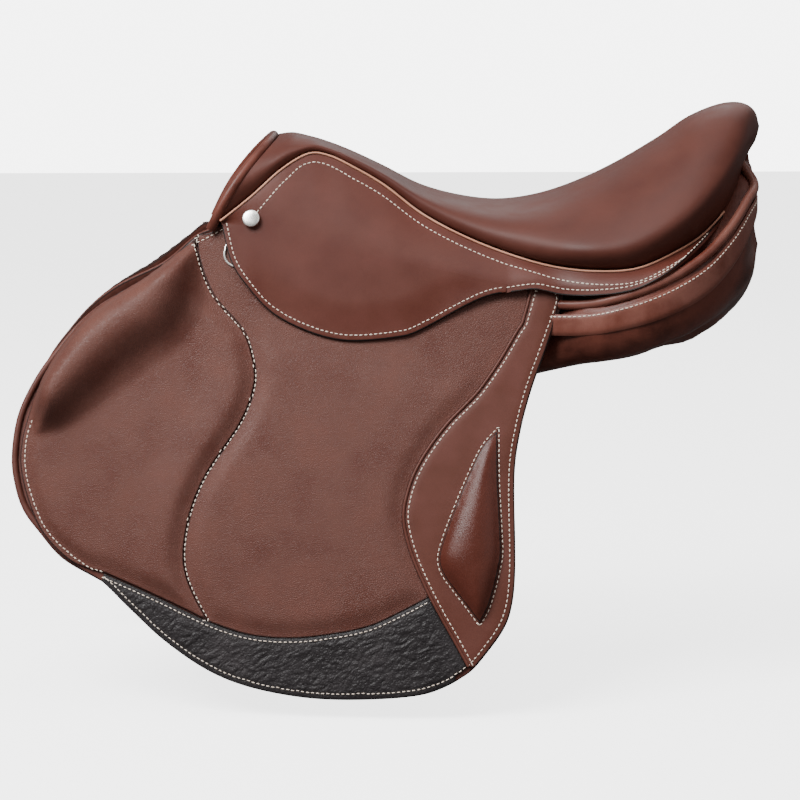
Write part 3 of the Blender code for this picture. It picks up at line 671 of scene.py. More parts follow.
def keep(piece, look, body, replaced=(), slot=None, fill=None):
    """Give a finished piece its material, and note what it rides on and stands for."""
    piece.data.materials.clear()
    piece.data.materials.append(look)
    PIECES.append((piece, body, replaced, slot, fill))
    print("made", piece.name, "with", len(piece.data.polygons), "faces")
    return piece


outer, inner = depths_of("flap")
flap = lay(cut_leather("flap_hide_left", OUTLINES["flap"], inner - outer, 4 * MM, 0.9 * MM), inner)
keep(flap, FLAP, "flap_left", ("flap_left",), "flap_leather")

# %% [markdown]
# ## The knee pad and its block
# One soft grained hide covers the whole front of the flap. It is drawn tight over a moulded knee
# block, which has a ridge near the flap's front edge and a steep wall behind it, and it is sewn
# down along an S-shaped seam, where the foam under it swells on both sides of the stitches.

# %% Shape of the knee block and the pads
def longest_run(loop, chosen):
    """The longest unbroken run of chosen points of a loop, and the rest of the loop."""
    turn = int(np.argmin(chosen))
    loop, chosen = np.roll(loop, -turn, axis=0), np.roll(chosen, -turn)
    best, count = (0, 0), 0
    for i, inside in enumerate([*chosen, False]):
        if inside:
            count += 1
            continue
        if count > best[1]:
            best = (i - count, count)
        count = 0
    loop = np.roll(loop, -best[0], axis=0)
    return loop[:best[1]], np.vstack([loop[best[1] - 1:], loop[:1]])


COVER_OUT, COVER_IN = depths_of("knee_pad")
COVER_THICK = COVER_IN - COVER_OUT
flap_line = closed_line(OUTLINES["flap"])
block_loop = OUTLINES["knee_block"]
to_flap_edge = np.abs(distance(block_loop, flap_line)[0])
block_front, block_crease = longest_run(block_loop, to_flap_edge < 7 * MM)
print("knee block front", len(block_front), "crease", len(block_crease), "mm",
      (block_front[[0, -1]] / MM).round().tolist())


KNEE_HEIGHT, KNEE_RIDGE = 27 * MM, 0.32   # and how far from the front edge its ridge lies


def knee_rise(flat):
    """Height of the knee block over the pad."""
    to_front, _ = distance(flat, block_front)
    to_crease, place = distance(flat, block_crease)
    to_front, to_crease = np.abs(to_front), np.abs(to_crease)
    width = to_front + to_crease
    across = to_front / np.maximum(width, 1e-6)
    rising = np.sqrt(np.clip(1 - (1 - np.clip(across / KNEE_RIDGE, 0, 1)) ** 2.2, 0, 1))
    behind = np.clip((across - KNEE_RIDGE) / (1 - KNEE_RIDGE), 0, 1)
    falling = 0.5 + 0.5 * np.cos(np.pi * behind ** 1.1)
    height = KNEE_HEIGHT * np.where(across < KNEE_RIDGE, rising, falling)
    height *= ease(width, 0, 46 * MM) ** 0.7
    return np.where(within(flat, block_loop), height, 0)


def drawn_up(loop, to=5.5 * MM):
    """The cover's top edge, drawn up to the top of the flap and along its front corner."""
    loop = loop.copy()
    top = (loop[:, 1] < 27 * MM) & (loop[:, 0] > -28 * MM)
    loop[top, 1] = to + 0.55 * np.clip(-11 * MM - loop[top, 0], 0, None)
    loop[:, 0] -= np.where(top & (loop[:, 0] < -24 * MM), 3 * MM, 0)
    return raised_ends(spaced(loop, 2.5 * MM, closed=True), 9 * MM)


pad_loop, panel_loop = OUTLINES["knee_pad"], drawn_up(OUTLINES["flap_panel"])
near_panel = np.abs(distance(pad_loop, closed_line(panel_loop))[0]) < 2 * MM
S_SEAM, _ = longest_run(pad_loop, near_panel)
print("S seam", len(S_SEAM), (S_SEAM[0] / MM).round(), (S_SEAM[-1] / MM).round())


def pad_rise(flat):
    """Height of the pad's swell over the flap, with the knee block under it."""
    to_seam = np.abs(distance(flat, S_SEAM)[0])
    to_edge = np.abs(distance(flat, closed_line(pad_loop))[0])
    to_rim = np.abs(distance(flat, flap_line)[0])
    swell = 6.0 * MM * ease(to_edge, 0.5 * MM, 16 * MM) ** 0.8
    swell *= 1 - 0.35 * ease(to_seam, 14 * MM, 50 * MM)
    swell *= ease(to_rim, 5.5 * MM, 12 * MM)
    block = knee_rise(flat)
    return swell * (1 - 0.6 * ease(block, 0, 10 * MM)) + block


def smoothed(piece, values, times=4):
    """Average a value over neighbouring vertices, to round off its creases."""
    edges = np.empty(len(piece.data.edges) * 2, int)
    piece.data.edges.foreach_get("vertices", edges)
    a, b = edges.reshape(-1, 2).T
    count = np.bincount(np.concatenate([a, b]), minlength=len(values))
    for _ in range(times):
        total = (np.bincount(a, values[b], len(values)) + np.bincount(b, values[a], len(values)))
        values = 0.5 * values + 0.5 * total / np.maximum(count, 1)
    return values


pad = cut_leather("knee_pad_cover_left", pad_loop, COVER_THICK, 2.2 * MM)
rise = smoothed(pad, pad_rise(flat_points(pad)), 5)
lay(pad, COVER_IN, rise)
keep(pad, PAD, "flap_left", ("knee_pad_left", "knee_block_left"), "grained_leather", 0.8)


def panel_rise(flat):
    """Height of the centre panel's swell: flatter under the skirt, where there is no foam."""
    to_edge = np.abs(distance(flat, closed_line(panel_loop))[0])
    under_skirt = 1 - ease(flat[:, 1], 60 * MM, 110 * MM)
    return 3.4 * MM * ease(to_edge, 1 * MM, 16 * MM) ** 0.8 * (1 - 0.8 * under_skirt)


centre = cut_leather("flap_panel_cover_left", panel_loop, COVER_THICK, 3.0 * MM)
lay(centre, COVER_IN, smoothed(centre, panel_rise(flat_points(centre)), 3))
keep(centre, PAD, "flap_left", ("flap_panel_left",), "grained_leather", 0.7)

# %% [markdown]
# ## Rear band, thigh block and grip strip
# A smooth band runs down the flap's rear edge, with a padded thigh block sewn into it. A strip
# of black buffalo hide closes the bottom of the flap, where the rider's calf grips.

# %% Band, thigh block and strip
band_loop = drawn_up(OUTLINES["rear_band"])
strip_loop, thigh_loop = OUTLINES["grip_strip"], OUTLINES["thigh_block"]
at_edge = np.abs(distance(strip_loop, flap_line)[0]) < 3.5 * MM
strip_loop[at_edge] = nearest_on(flap_line, strip_loop[at_edge])
strip_loop = spaced(strip_loop, 2.5 * MM, closed=True)
band = cut_leather("rear_band_cover_left", band_loop, COVER_THICK + 0.8 * MM, 2.5 * MM)
to_edge = np.abs(distance(flat_points(band), closed_line(band_loop))[0])
lay(band, COVER_IN, smoothed(band, 1.0 * MM * ease(to_edge, 1 * MM, 7 * MM), 2))
keep(band, BAND, "flap_left", ("rear_band_left",), "band_leather")

strip = cut_leather("grip_strip_cover_left", strip_loop, COVER_THICK, 1.3 * MM)
flat = flat_points(strip)
to_edge = np.abs(distance(flat, closed_line(strip_loop))[0])
noise.seed_set(5)                # or noise_vector would start from the clock, each run anew


def hide_folds(u, v):
    """Creases of buffalo hide: narrow valleys between long, slanting lumps."""
    a, b = 0.82 * u - 0.57 * v, 0.57 * u + 0.82 * v
    spot = Vector((a * 75, b * 150, 0.3))
    spot += noise.noise_vector(spot * 0.9) * 0.9
    near, second = noise.voronoi(spot)[0][:2]
    return min(1.0, (second - near) * 2.6) ** 0.6 - 0.35 * noise.noise(spot * 3.0)


folds = np.array([hide_folds(u, v) for u, v in flat])
relief = 0.5 + 0.9 * ease(to_edge, 4.5 * MM, 8 * MM) * folds
lay(strip, COVER_IN, relief * MM * ease(to_edge, 0.8 * MM, 2.5 * MM))
keep(strip, STRIP, "flap_left", ("grip_strip_left",), "black_buffalo_leather")

thigh_cut = spaced(set_in(thigh_loop, 1.6 * MM), 1.6 * MM, closed=True)
thigh = cut_leather("thigh_block_cover_left", thigh_cut, COVER_THICK, 1.6 * MM)
flat = flat_points(thigh)
to_edge = np.abs(distance(flat, closed_line(thigh_cut))[0])
crown = np.sqrt(np.clip(1 - (1 - to_edge / to_edge.max()) ** 2, 0, 1))
lower = ease(flat[:, 1], flat[:, 1].min(), flat[:, 1].max() - 45 * MM)
lay(thigh, COVER_OUT, smoothed(thigh, 12.5 * MM * crown * (0.45 + 0.55 * lower), 10))
keep(thigh, BLOCK, "flap_left", ("thigh_block_left",), "block_leather", 0.9)

# %% [markdown]
# ## Seat
# The seat is a shell of thin calf stretched over foam. Its shape is a loft: a rounded
# cross-section that changes from the narrow, high pommel through the deep, narrow waist to the
# wide cantle. Cross-sections lean forward at the pommel, so that they stay square to the seat.
# Each line below says where a section's crown is, how far it leans, how wide and high the edge
# is, and where the leather rolls in under the edge to meet the skirt.

# %% Seat sections in millimetres
SEAT_SECTIONS = np.array([
    # crown x, crown z, lean %, edge out, edge z, welt out, welt z
    (-183, 208, 91, 77, 148, 76, 140), (-175, 209, 84, 71, 166, 70, 158),
    (-168, 208.5, 70, 63, 187, 62, 181), (-155, 205, 60, 55, 199, 54, 195),
    (-140, 200, 50, 54, 197, 53, 194), (-120, 192, 40, 58, 189, 57, 185),
    (-92, 179, 30, 65, 174, 63, 169), (-60, 163, 15, 76, 152, 73, 145),
    (-25, 153.5, 0, 90, 133, 86, 126), (10, 150, 0, 106, 121, 99, 113),
    (45, 155, 0, 124, 115, 112, 104), (80, 167, 0, 138, 116, 124, 101),
    (115, 184, 0, 142, 123, 129, 104), (150, 205, 0, 134, 142, 118, 118),
    (175, 222.5, 0, 119, 160, 101, 132), (200, 233, 6, 94, 182, 80, 152),
    (218, 234.5, 18, 67, 199, 56, 170), (229, 228, 34, 42, 206, 34, 186),
    (234, 215, 45, 16, 207, 12, 199)]) * [1, 1, 10, 1, 1, 1, 1] / 1000
ARCH_POWER = 2.3
FINE = curved(SEAT_SECTIONS, 9)


def set_back(lean, drop, whole):
    """How far forward a leaning section is at some drop from its crown: a shallow curve."""
    return lean * drop * (1.15 - 0.33 * drop / np.maximum(whole, 1e-6))


def seat_arc(section, sink, steps=26):
    """Half a cross-section of the seat, from its crown to the welt."""
    crown_x, crown_z, lean, edge_out, edge_z, welt_out, welt_z = section
    flat = ease(crown_x, 10 * MM, 100 * MM)
    turn = np.linspace(0, np.pi / 2, steps)
    power = 2 / ARCH_POWER
    out = np.sin(turn) ** power
    arch = np.cos(turn) ** power * (1 - flat) + (1 - out ** 2.7) * flat
    out *= edge_out - sink
    z = edge_z + (crown_z - sink - edge_z) * arch
    turn = np.linspace(0, np.pi / 2, 7)[1:]
    under = np.cos(turn) * (1 - 0.6 * flat) + (1 - np.sin(turn)) * 0.6 * flat
    out = np.concatenate([out, welt_out - sink + (edge_out - welt_out) * under])
    z = np.concatenate([z, edge_z - (edge_z - welt_z) * np.sin(turn)])
    arc = np.column_stack([crown_x - set_back(lean, crown_z - z, crown_z - welt_z), out, z])
    reach = np.concatenate([[0], np.cumsum(np.linalg.norm(np.diff(arc, axis=0), axis=1))])
    even = np.linspace(0, reach[-1], 42)
    arc = np.column_stack([np.interp(even, reach, arc[:, k]) for k in range(3)])
    for _ in range(5):                       # round off the rim
        arc[1:-1] += 0.5 * flat * ((arc[:-2] + arc[2:]) / 2 - arc[1:-1])
    return arc


def sheet_of(name, rows):
    """A sheet of square faces from rows of points."""
    rows = np.asarray(rows)
    high, wide = rows.shape[:2]
    faces = [(r * wide + c, r * wide + c + 1, (r + 1) * wide + c + 1, (r + 1) * wide + c)
             for r in range(high - 1) for c in range(wide - 1)]
    return new_piece(name, rows.reshape(-1, 3), faces)


def seat_rows(sections, sink, short=0):
    """Cross-sections as rows of points, cut short at both edges by some points."""
    rows = []
    for section in sections:
        half = seat_arc(section, sink)
        half = half[:len(half) - short]
        rows.append(np.vstack([half[::-1] * [1, -1, 1], half[1:]]))
    return rows


def face_away(piece, centre=(0.0, 0.0, 0.04)):
    """Turn a sheet's faces away from a point inside the saddle."""
    smooth(piece, 60)
    centre = Vector(centre)
    total = sum(f.normal.dot(f.center - centre) * f.area for f in piece.data.polygons)
    if total < 0:
        piece.data.flip_normals()


LEATHER = 2.5 * MM
tip = FINE[-1].copy()
tip[[0, 1, 3, 4, 5, 6]] = (0.2335, 0.2085, 0.004, 0.2050, 0.0035, 0.2020)
seat = sheet_of("seat_leather_cover", seat_rows([*FINE, tip], 0))
face_away(seat)
modify(seat, "SOLIDIFY", thickness=LEATHER, offset=-1.0)
smooth(seat, 60)
store(seat, "edge", np.full(len(seat.data.vertices), 0.05))
keep(seat, SEAT, "saddle", ("seat_cover",), "seat_leather", 0.8)

foam = sheet_of("seat_foam_layer", seat_rows(FINE[9:-36], LEATHER + 2.6 * MM, 8))
face_away(foam)
modify(foam, "SOLIDIFY", thickness=13 * MM, offset=-1.0)
smooth(foam, 60)
keep(foam, FOAM, "saddle", ("seat_foam",), "foam", 1.0)

# %% [markdown]
# ## Skirt
# The skirt covers the stirrup bar. It is sewn in under the welt, runs down and outwards, and
# bends at the flap's hinge line into a rounded lobe that lies on the flap. The top stays with
# the saddle and the lobe lifts, so they are two pieces that meet on that line. A Hermite curve
# from the welt to the line gives the top the flap's own slope where it arrives, so that no bend
# shows while the lobe is down.

# %% The skirt's top
WELT_DROP = FINE[:, 1] - FINE[:, 6]
WELT = np.column_stack([FINE[:, 0] - set_back(FINE[:, 2], WELT_DROP, WELT_DROP), -FINE[:, 5],
                        FINE[:, 6]])
UNDER_SEAT = WELT.copy()
WELT = WELT[WELT[:, 0] < 0.193]


def at_x(line, x):
    order = np.argsort(line[:, 0])
    return np.array([np.interp(x, line[order, 0], line[order, k]) for k in range(3)])


LOBE_END, LIP = 236.5 * MM, 6.6 * MM   # where the lobe is cut free of the tail, and how deep
hinge_start, hinge_end = (to_world(u, 0.0, 0.0) for u in (-12 * MM, LOBE_END + 0.3 * MM))
hinge_line = np.vstack([hinge_start, hinge_end])
cut_foot = to_world(LOBE_END + 0.3 * MM, LIP, 0.0) / MM
TAIL = curved(np.array([cut_foot, (30, -122.8, 84.2), (53, -127.5, 79.8), (80, -138, 80.5),
                        (111, -144, 86), (140, -141.5, 101), (165, -124, 120.5),
                        (182, -103, 135), (192, -90, 143.5)]) * MM, 8)
SKIRT_THICK = 3.0 * MM
LOBE_COLUMNS = 90
skirt_rows = []
for x in np.concatenate([np.linspace(hinge_start[0], hinge_end[0], LOBE_COLUMNS),
                         np.linspace(hinge_end[0], 0.191, 67)[1:]]):
    top = at_x(WELT, x) + np.array([0, -3.2, -2.8]) * MM * (1 - 0.6 * ease(x, 0.165, 0.19))
    tail = ease(x, hinge_end[0], hinge_end[0] + 60 * MM)
    foot = at_x(hinge_line, x) if x <= hinge_end[0] else at_x(TAIL, x)
    chord = (foot - top) / np.linalg.norm(foot - top)
    arrive = DOWN * (1 - tail) + (chord + np.array([0, 0.25, 0])) * tail
    arrive /= np.linalg.norm(arrive)
    lip = min(LIP, 0.3 * np.linalg.norm(foot - top))
    if x > hinge_end[0]:
        foot = foot - arrive * lip
    reach = np.linalg.norm(foot - top)
    leave = (foot - top) / reach + np.array([0, -0.16, 0.0])
    leave *= reach / np.linalg.norm(leave)
    t = np.linspace(0, 1, 19)[:, None]
    column = ((2 * t ** 3 - 3 * t ** 2 + 1) * top + (t ** 3 - 2 * t ** 2 + t) * leave
              + (3 * t ** 2 - 2 * t ** 3) * foot + (t ** 3 - t ** 2) * arrive * reach)
    lips = foot + arrive * lip * np.array([[0.34], [0.67], [1.0]])
    skirt_rows.append(np.vstack([column, lips]))
skirt_rows = np.array(skirt_rows)
skirt_top = sheet_of("skirt_top_leather_left", skirt_rows)
bm = bmesh.new()
bm.from_mesh(skirt_top.data)
bm.faces.ensure_lookup_table()
wide = skirt_rows.shape[1] - 1
bmesh.ops.delete(bm, geom=[bm.faces[c * wide + r] for c in range(LOBE_COLUMNS - 1)
                           for r in range(18, wide)], context="FACES")
bm.to_mesh(skirt_top.data)
bm.free()
face_away(skirt_top)
modify(skirt_top, "SOLIDIFY", thickness=SKIRT_THICK, offset=-1.0)
smooth(skirt_top, 50)
points = get_points(skirt_top)
free = spaced(np.vstack([skirt_rows[LOBE_COLUMNS:, -1], skirt_rows[-1, ::-1]]), 1.0 * MM)
reach = np.array([np.linalg.norm(free - p, axis=1).min() for p in points])
store(skirt_top, "edge", reach)
keep(skirt_top, SKIRT, "saddle", ("skirt_top_left",), "skirt_leather")

# %% The skirt's lobe
lobe_loop = outline_of("skirt_left", 2.5 * MM)
rear = lobe_loop[:, 0] > 208 * MM
over = lobe_loop[:, 0] - 208 * MM
lobe_loop[:, 1] = np.where(rear & (lobe_loop[:, 1] > 1.2 * MM),
                           23 * MM - 0.86 * over + 10 * over ** 2, lobe_loop[:, 1])
lobe_loop = lobe_loop[lobe_loop[:, 0] < LOBE_END]
lobe_edge = lobe_loop[(lobe_loop[:, 1] > 1.5 * MM) & (lobe_loop[:, 0] < LOBE_END - 2 * MM)]
start = int(np.argmax(np.linalg.norm(lobe_edge - np.roll(lobe_edge, 1, axis=0), axis=1)))
lobe_edge = np.roll(lobe_edge, -start, axis=0)
lobe_loop[lobe_loop[:, 1] < 1.5 * MM, 1] = 0.0


def lobe_depth(flat):
    """The lobe's free edge leans in, to rest near the flap."""
    to_edge = np.abs(distance(flat, lobe_edge)[0])
    lean = 3.0 * MM * (1 - ease(to_edge, 0, 34 * MM)) * ease(flat[:, 1], 0, 12 * MM)
    return lean * ease(flat[:, 0], 14 * MM, 55 * MM) * (1 - ease(flat[:, 0], 175 * MM, 230 * MM))


lobe = cut_leather("skirt_lobe_leather_left", lobe_loop, SKIRT_THICK, 3.0 * MM, 0)
bm = bmesh.new()
bm.from_mesh(lobe.data)
rim = [e for e in bm.edges if e.is_manifold and e.calc_face_angle(0) > 1.0
       and min(v.co.y for v in e.verts) > 0.5 * MM]
bmesh.ops.bevel(bm, geom=rim, offset=0.7 * MM, segments=2, profile=0.5, affect="EDGES")
bm.to_mesh(lobe.data)
bm.free()
flat = flat_points(lobe)
store(lobe, "edge", np.abs(distance(flat, lobe_edge)[0]))
lay(lobe, SKIRT_THICK + lobe_depth(flat), bowed=False)
HINGE_END = tuple(to_world(0.0, 0.0, 0.0))
BELOW_HINGE = tuple(to_world(0.0, 22 * MM, 0.0))
keep(lobe, SKIRT, ("flap_left", "skirt_left", HINGE_END, BELOW_HINGE), ("skirt_left",),
     "skirt_leather")

# %% [markdown]
# ## Welt and rolls
# A thin pale welt is caught in the seam between the seat and the skirt, and a stuffed roll goes
# round the front of the pommel. Each is a curve with a round bevel, turned into a mesh. Behind
# the roll a leather facing closes the arch: rows of points inside the seat's own front edge.

# %% Cords
PIPING = leather("pale_piping_calf", "C98F76", "BC8168", "D69E86", 0.5, 0.02, edge_reach=0.01)


def cord(name, path, radius, sides=3, edge=0.02, closed=False):
    """A round cord along a path of points, with closed ends."""
    curve = bpy.data.curves.new(name, "CURVE")
    curve.dimensions = "3D"
    curve.bevel_depth = radius
    curve.bevel_resolution = sides
    curve.use_fill_caps = True
    spline = curve.splines.new("POLY")
    spline.points.add(len(path) - 1)
    spline.use_cyclic_u = closed
    for knot, place in zip(spline.points, path):
        knot.co = (*map(float, place), 1)
    piece = bpy.data.objects.new(name, curve)
    bpy.context.collection.objects.link(piece)
    pick(piece)
    bpy.ops.object.convert(target="MESH")
    piece = bpy.context.object
    piece.data.name = name
    smooth(piece, 50)
    store(piece, "edge", np.full(len(piece.data.vertices), edge))
    return piece


welt_path = WELT + np.array([0, -3.0, -1.6]) * MM
seat_welt = cord("seat_welt_piping_left", spaced(welt_path, 3 * MM), 0.95 * MM)
keep(seat_welt, PIPING, "saddle", ("seat_welt_left",), "piping_leather")

front_arc = seat_arc(SEAT_SECTIONS[0], 1.6 * MM) + np.array([-3.8, 0, 0]) * MM
foot = front_arc[-1] + (front_arc[-1] - front_arc[-4]) * 1.1
front_arc = np.vstack([front_arc[:-1], foot])
arch = np.vstack([front_arc[::-1] * [1, -1, 1], front_arc[1:]])
pommel = cord("pommel_roll_leather", spaced(arch, 3 * MM), 4.2 * MM, 5)
keep(pommel, PANEL, "saddle", ("pommel_roll",), "panel_leather", 1.0)

EDGE_ARC = seat_arc(SEAT_SECTIONS[0], 0)
EDGE_ARC = EDGE_ARC[EDGE_ARC[:, 2] > SEAT_SECTIONS[0][4]]
facing_rows = []
for inward, ahead, down in ((0.93, -9.0, 4.0), (0.86, -9.6, 8.5), (0.74, -8.6, 17.0),
                            (0.66, -6.0, 26.0)):
    row = EDGE_ARC * [1, inward, 1] + np.array([ahead, 0, -down]) * MM
    facing_rows.append(np.vstack([row[::-1] * [1, -1, 1], row[1:]]))
facing = sheet_of("pommel_facing_leather", facing_rows)
face_away(facing, (0.1, 0, 0.1))
modify(facing, "SOLIDIFY", thickness=2.0 * MM, offset=0.0)
modify(facing, "SUBSURF", levels=1, render_levels=1)
smooth(facing, 60)
store(facing, "edge", np.full(len(facing.data.vertices), 0.02))
keep(facing, PANEL, "saddle", ("pommel_facing",), "panel_leather")

# %% [markdown]
# ## Panels
# The two panels are long leather bags stuffed with wool. Their shape is read back from the CAD
# panel's own cross-sections, made denser, and then blown up a little with a cloth simulation, so
# that the leather swells between its seams as a stuffed bag does.

# %% Panel bags
def rings_of(name):
    """Cross-sections of a CAD solid that was built on planes of constant x, in order."""
    points = np.array([v.co for v in NODES[name].data.vertices])
    points = np.unique(points.round(6), axis=0)
    rings = []
    for x in np.unique(points[:, 0].round(4)):
        ring = points[np.abs(points[:, 0] - x) < 1e-4]
        middle = ring.mean(axis=0)
        turn = np.arctan2(ring[:, 2] - middle[2], ring[:, 1] - middle[1])
        rings.append(ring[np.argsort(turn)])
    return rings


def closed_tube(name, rings):
    """A solid skinned over closed rings, with its two ends filled."""
    count = len(rings[0])
    faces = [tuple(range(count)), tuple(range((len(rings) - 1) * count, len(rings) * count))]
    for r in range(len(rings) - 1):
        for i in range(count):
            j = (i + 1) % count
            faces.append((r * count + i, r * count + j, (r + 1) * count + j, (r + 1) * count + i))
    piece = new_piece(name, np.vstack(rings), faces)
    smooth(piece)
    return piece


def evenly(ring, count):
    """A closed ring smoothed and spaced evenly, starting at its first point."""
    loop = curved(np.vstack([ring[-2:], ring, ring[:3]]), 8)[16:-16]
    reach = np.concatenate([[0], np.cumsum(np.linalg.norm(np.diff(loop, axis=0), axis=1))])
    at = np.linspace(0, reach[-1], count + 1)[:-1]
    return np.column_stack([np.interp(at, reach, loop[:, k]) for k in range(3)])


RING_POINTS = 56
UNEVEN_RING = 56 * MM            # x of a CAD cross-section that would dent the smooth bag
HEEL_MIDDLE = np.array([130, 80]) * MM
HEEL_SWELL = 12 * MM             # how far the stuffing pushes the rear end out
cad_rings = rings_of("panel_left")
print("panel rings", [len(r) for r in cad_rings])
lined_up = []
shape_rings = [r for r in cad_rings if abs(r[0, 0] - UNEVEN_RING) > 3 * MM]
for ring in shape_rings:
    top_inner = int(np.argmax(ring[:, 2] * 3 + ring[:, 1]))
    lined_up.append(evenly(np.roll(ring, -top_inner, axis=0), RING_POINTS))
bag_rings = curved(np.array(lined_up).reshape(len(lined_up), -1), 5)
bag_rings = bag_rings.reshape(-1, RING_POINTS, 3)
off = bag_rings[:, :, [0, 2]] - HEEL_MIDDLE
reach = np.linalg.norm(off, axis=2)
way = off / reach[:, :, None]
heel = ease(way[:, :, 0], 0.25, 0.70) * ease(reach, 20 * MM, 75 * MM)
rear_rings = [ring for ring in cad_rings if ring[0, 0] > 60 * MM]
crease_line = np.array([ring[np.argmin(ring[:, 1])] for ring in rear_rings])
under = np.interp(bag_rings[:, :, 0], crease_line[:, 0], crease_line[:, 2])
under -= bag_rings[:, :, 2]
heel *= ease(under, 4 * MM, 58 * MM)
bag_rings[:, :, [0, 2]] += way * (HEEL_SWELL * heel)[:, :, None]
panel = closed_tube("panel_bag_left", list(bag_rings))


def swell(piece, held, pressure, cap, frames=20):
    """Inflate a closed piece with cloth where it isn't held, no point by more than cap."""
    before = get_points(piece)
    group = piece.vertex_groups.new(name="held")
    for i, weight in enumerate(held):
        group.add([i], float(weight), "REPLACE")
    pick(piece)
    cloth = piece.modifiers.new("Cloth", "CLOTH")
    cloth.settings.use_pressure = True
    cloth.settings.uniform_pressure_force = pressure
    cloth.settings.effector_weights.gravity = 0
    cloth.settings.tension_stiffness = 40
    cloth.settings.bending_stiffness = 6
    cloth.settings.vertex_group_mass = group.name
    cloth.point_cache.frame_end = frames
    for step in range(1, frames + 1):
        bpy.context.scene.frame_set(step)
    bpy.ops.object.modifier_apply(modifier=cloth.name)
    bpy.context.scene.frame_set(1)
    moved = get_points(piece) - before
    size = np.linalg.norm(moved, axis=1)
    moved *= (cap * np.tanh(size / cap) / np.maximum(size, 1e-9))[:, None]
    piece.vertex_groups.clear()
    set_points(piece, before + moved)
    print(piece.name, "swelled by up to", round(size.max() / MM, 1), "mm before the cap")


seam_line = []
for ring, low in zip(rear_rings, crease_line):
    above = ring[ring[:, 2] > low[2] + 1 * MM]
    seam_line.append(above[np.argmin(above[:, 1])])
seam_line = np.array(seam_line)
points = get_points(panel)
crease_z = np.interp(points[:, 0], crease_line[:, 0], crease_line[:, 2])
held = ease(points[:, 2], crease_z - 14 * MM, crease_z - 6 * MM)
held = np.where(points[:, 0] < 40 * MM, 1.0, held)
swell(panel, held, 1.2, 3.0 * MM)
smooth(panel, 70)
store(panel, "edge", np.full(len(panel.data.vertices), 0.02))
keep(panel, PANEL, "saddle", ("panel_left",), "panel_leather", 0.85)

# %% [markdown]
# At the rear a smooth leather strip, the gusset, is let in between the panel's seam and its
# crease, and a stuffed roll closes the gap up to the skirt. Both follow lines read from the CAD
# panel: the crease is its outermost point, and the seam is the next point above.

# %% Gusset and roll of the panel
marks = np.hstack([crease_line, seam_line])
ahead_of_it = marks[0] - (marks[1] - marks[0]) * [1.5, 0.95, 0.1, 1.5, 0.95, 0.1]
behind_it = np.array([215, -47, 156, 212, -44, 178]) * MM
along = curved(np.vstack([ahead_of_it, marks, behind_it]), 8)
low_line, high_line = along[:, :3], along[:, 3:]
ahead = np.gradient(low_line, axis=0)
face = np.cross(ahead, high_line - low_line)
face /= np.linalg.norm(face, axis=1)[:, None]
face *= np.sign(face[:, 1] * -1 + face[:, 0])[:, None]
gusset_rows = []
for t in np.linspace(0, 1, 11):
    proud = 1.2 + 1.6 * (1 - (2 * t - 1) ** 6)
    gusset_rows.append(low_line + (high_line - low_line) * (0.03 + 0.94 * t)
                       + face * proud * MM)
gusset = sheet_of("panel_gusset_leather_left", gusset_rows)
face_away(gusset, (0.05, 0, 0.06))
modify(gusset, "SOLIDIFY", thickness=1.8 * MM, offset=-1.0)
smooth(gusset, 50)
points = get_points(gusset)
store(gusset, "edge", np.minimum(np.linalg.norm(points[:, None] - low_line, axis=2).min(axis=1),
                                 np.linalg.norm(points[:, None] - high_line, axis=2).min(axis=1)))
keep(gusset, PANEL_BAND, "saddle", ("panel_gusset_left",), "panel_leather")

roll_path = along[::8, 3:] + np.array([0, 3.5, 7.0]) * MM
roll_path[0, 1] += 6 * MM
roll = cord("panel_roll_leather_left", spaced(curved(roll_path, 8), 3 * MM), 4.2 * MM, 5)
keep(roll, PANEL_BAND, "saddle", ("panel_welt_left",), "panel_leather", 1.0)

# %% [markdown]
# A leather facing closes the space between the roll and the underside of the cantle. It is
# ruled from the roll to the seat's lower edge.

# %% Facing under the cantle
behind = roll_path[roll_path[:, 0] > 0.12]
over = np.array([at_x(UNDER_SEAT, x) for x in np.clip(behind[:, 0], None, UNDER_SEAT[:, 0].max())])
facing_rows = [behind + (over - behind) * t + np.array([0, 4.0, 0]) * MM
               for t in np.linspace(-0.2, 1.1, 8)]
cantle_facing = sheet_of("cantle_facing_leather_left", facing_rows)
face_away(cantle_facing, (0.1, 0, 0.1))
modify(cantle_facing, "SOLIDIFY", thickness=1.5 * MM, offset=-1.0)
smooth(cantle_facing, 60)
store(cantle_facing, "edge", np.full(len(cantle_facing.data.vertices), 0.02))
keep(cantle_facing, PANEL, "saddle", (), "panel_leather")

# %% [markdown]
# ## Sweat flap
# Between the flap and the horse hangs the sweat flap. Its edge is turned over a cord, which
# shows as a soft roll just outside the flap's front edge.

# %% Sweat flap and its rolled edge
sweat_out, sweat_in = depths_of("sweat_flap")
sweat_loop = OUTLINES["sweat_flap"]
sweat = cut_leather("sweat_flap_leather_left", sweat_loop, sweat_in - sweat_out, 4 * MM)
lay(sweat, sweat_in, bowed=False)
keep(sweat, FLAP, "saddle", ("sweat_flap_left",), "flap_leather")
round_edge = set_in(sweat_loop, 2.4 * MM)
round_edge = np.roll(round_edge, -int(np.argmax(round_edge @ [1.0, -1.0])), axis=0)
round_edge = round_edge[(round_edge[:, 1] > 14 * MM) & (round_edge[:, 0] < 150 * MM)]
inner_edge = towards(round_edge, (100, 100), 6.2 * MM)
for label, line, radius, up in (("rolled_edge", round_edge, 2.9 * MM, 0.4 * MM),
                                ("edge_cord", inner_edge, 1.7 * MM, -0.3 * MM)):
    u, v = spaced(line, 3 * MM).T
    edge_roll = cord(f"sweat_flap_{label}_left", to_world(u, v, sweat_out - up), radius)
    keep(edge_roll, FLAP, "saddle", (), "flap_leather")

# %% [markdown]
# ## Girth straps
# Three bridle-leather straps hang from webbing under the flap. Each has a row of round punched
# holes for the buckle's tongue, an inch apart.

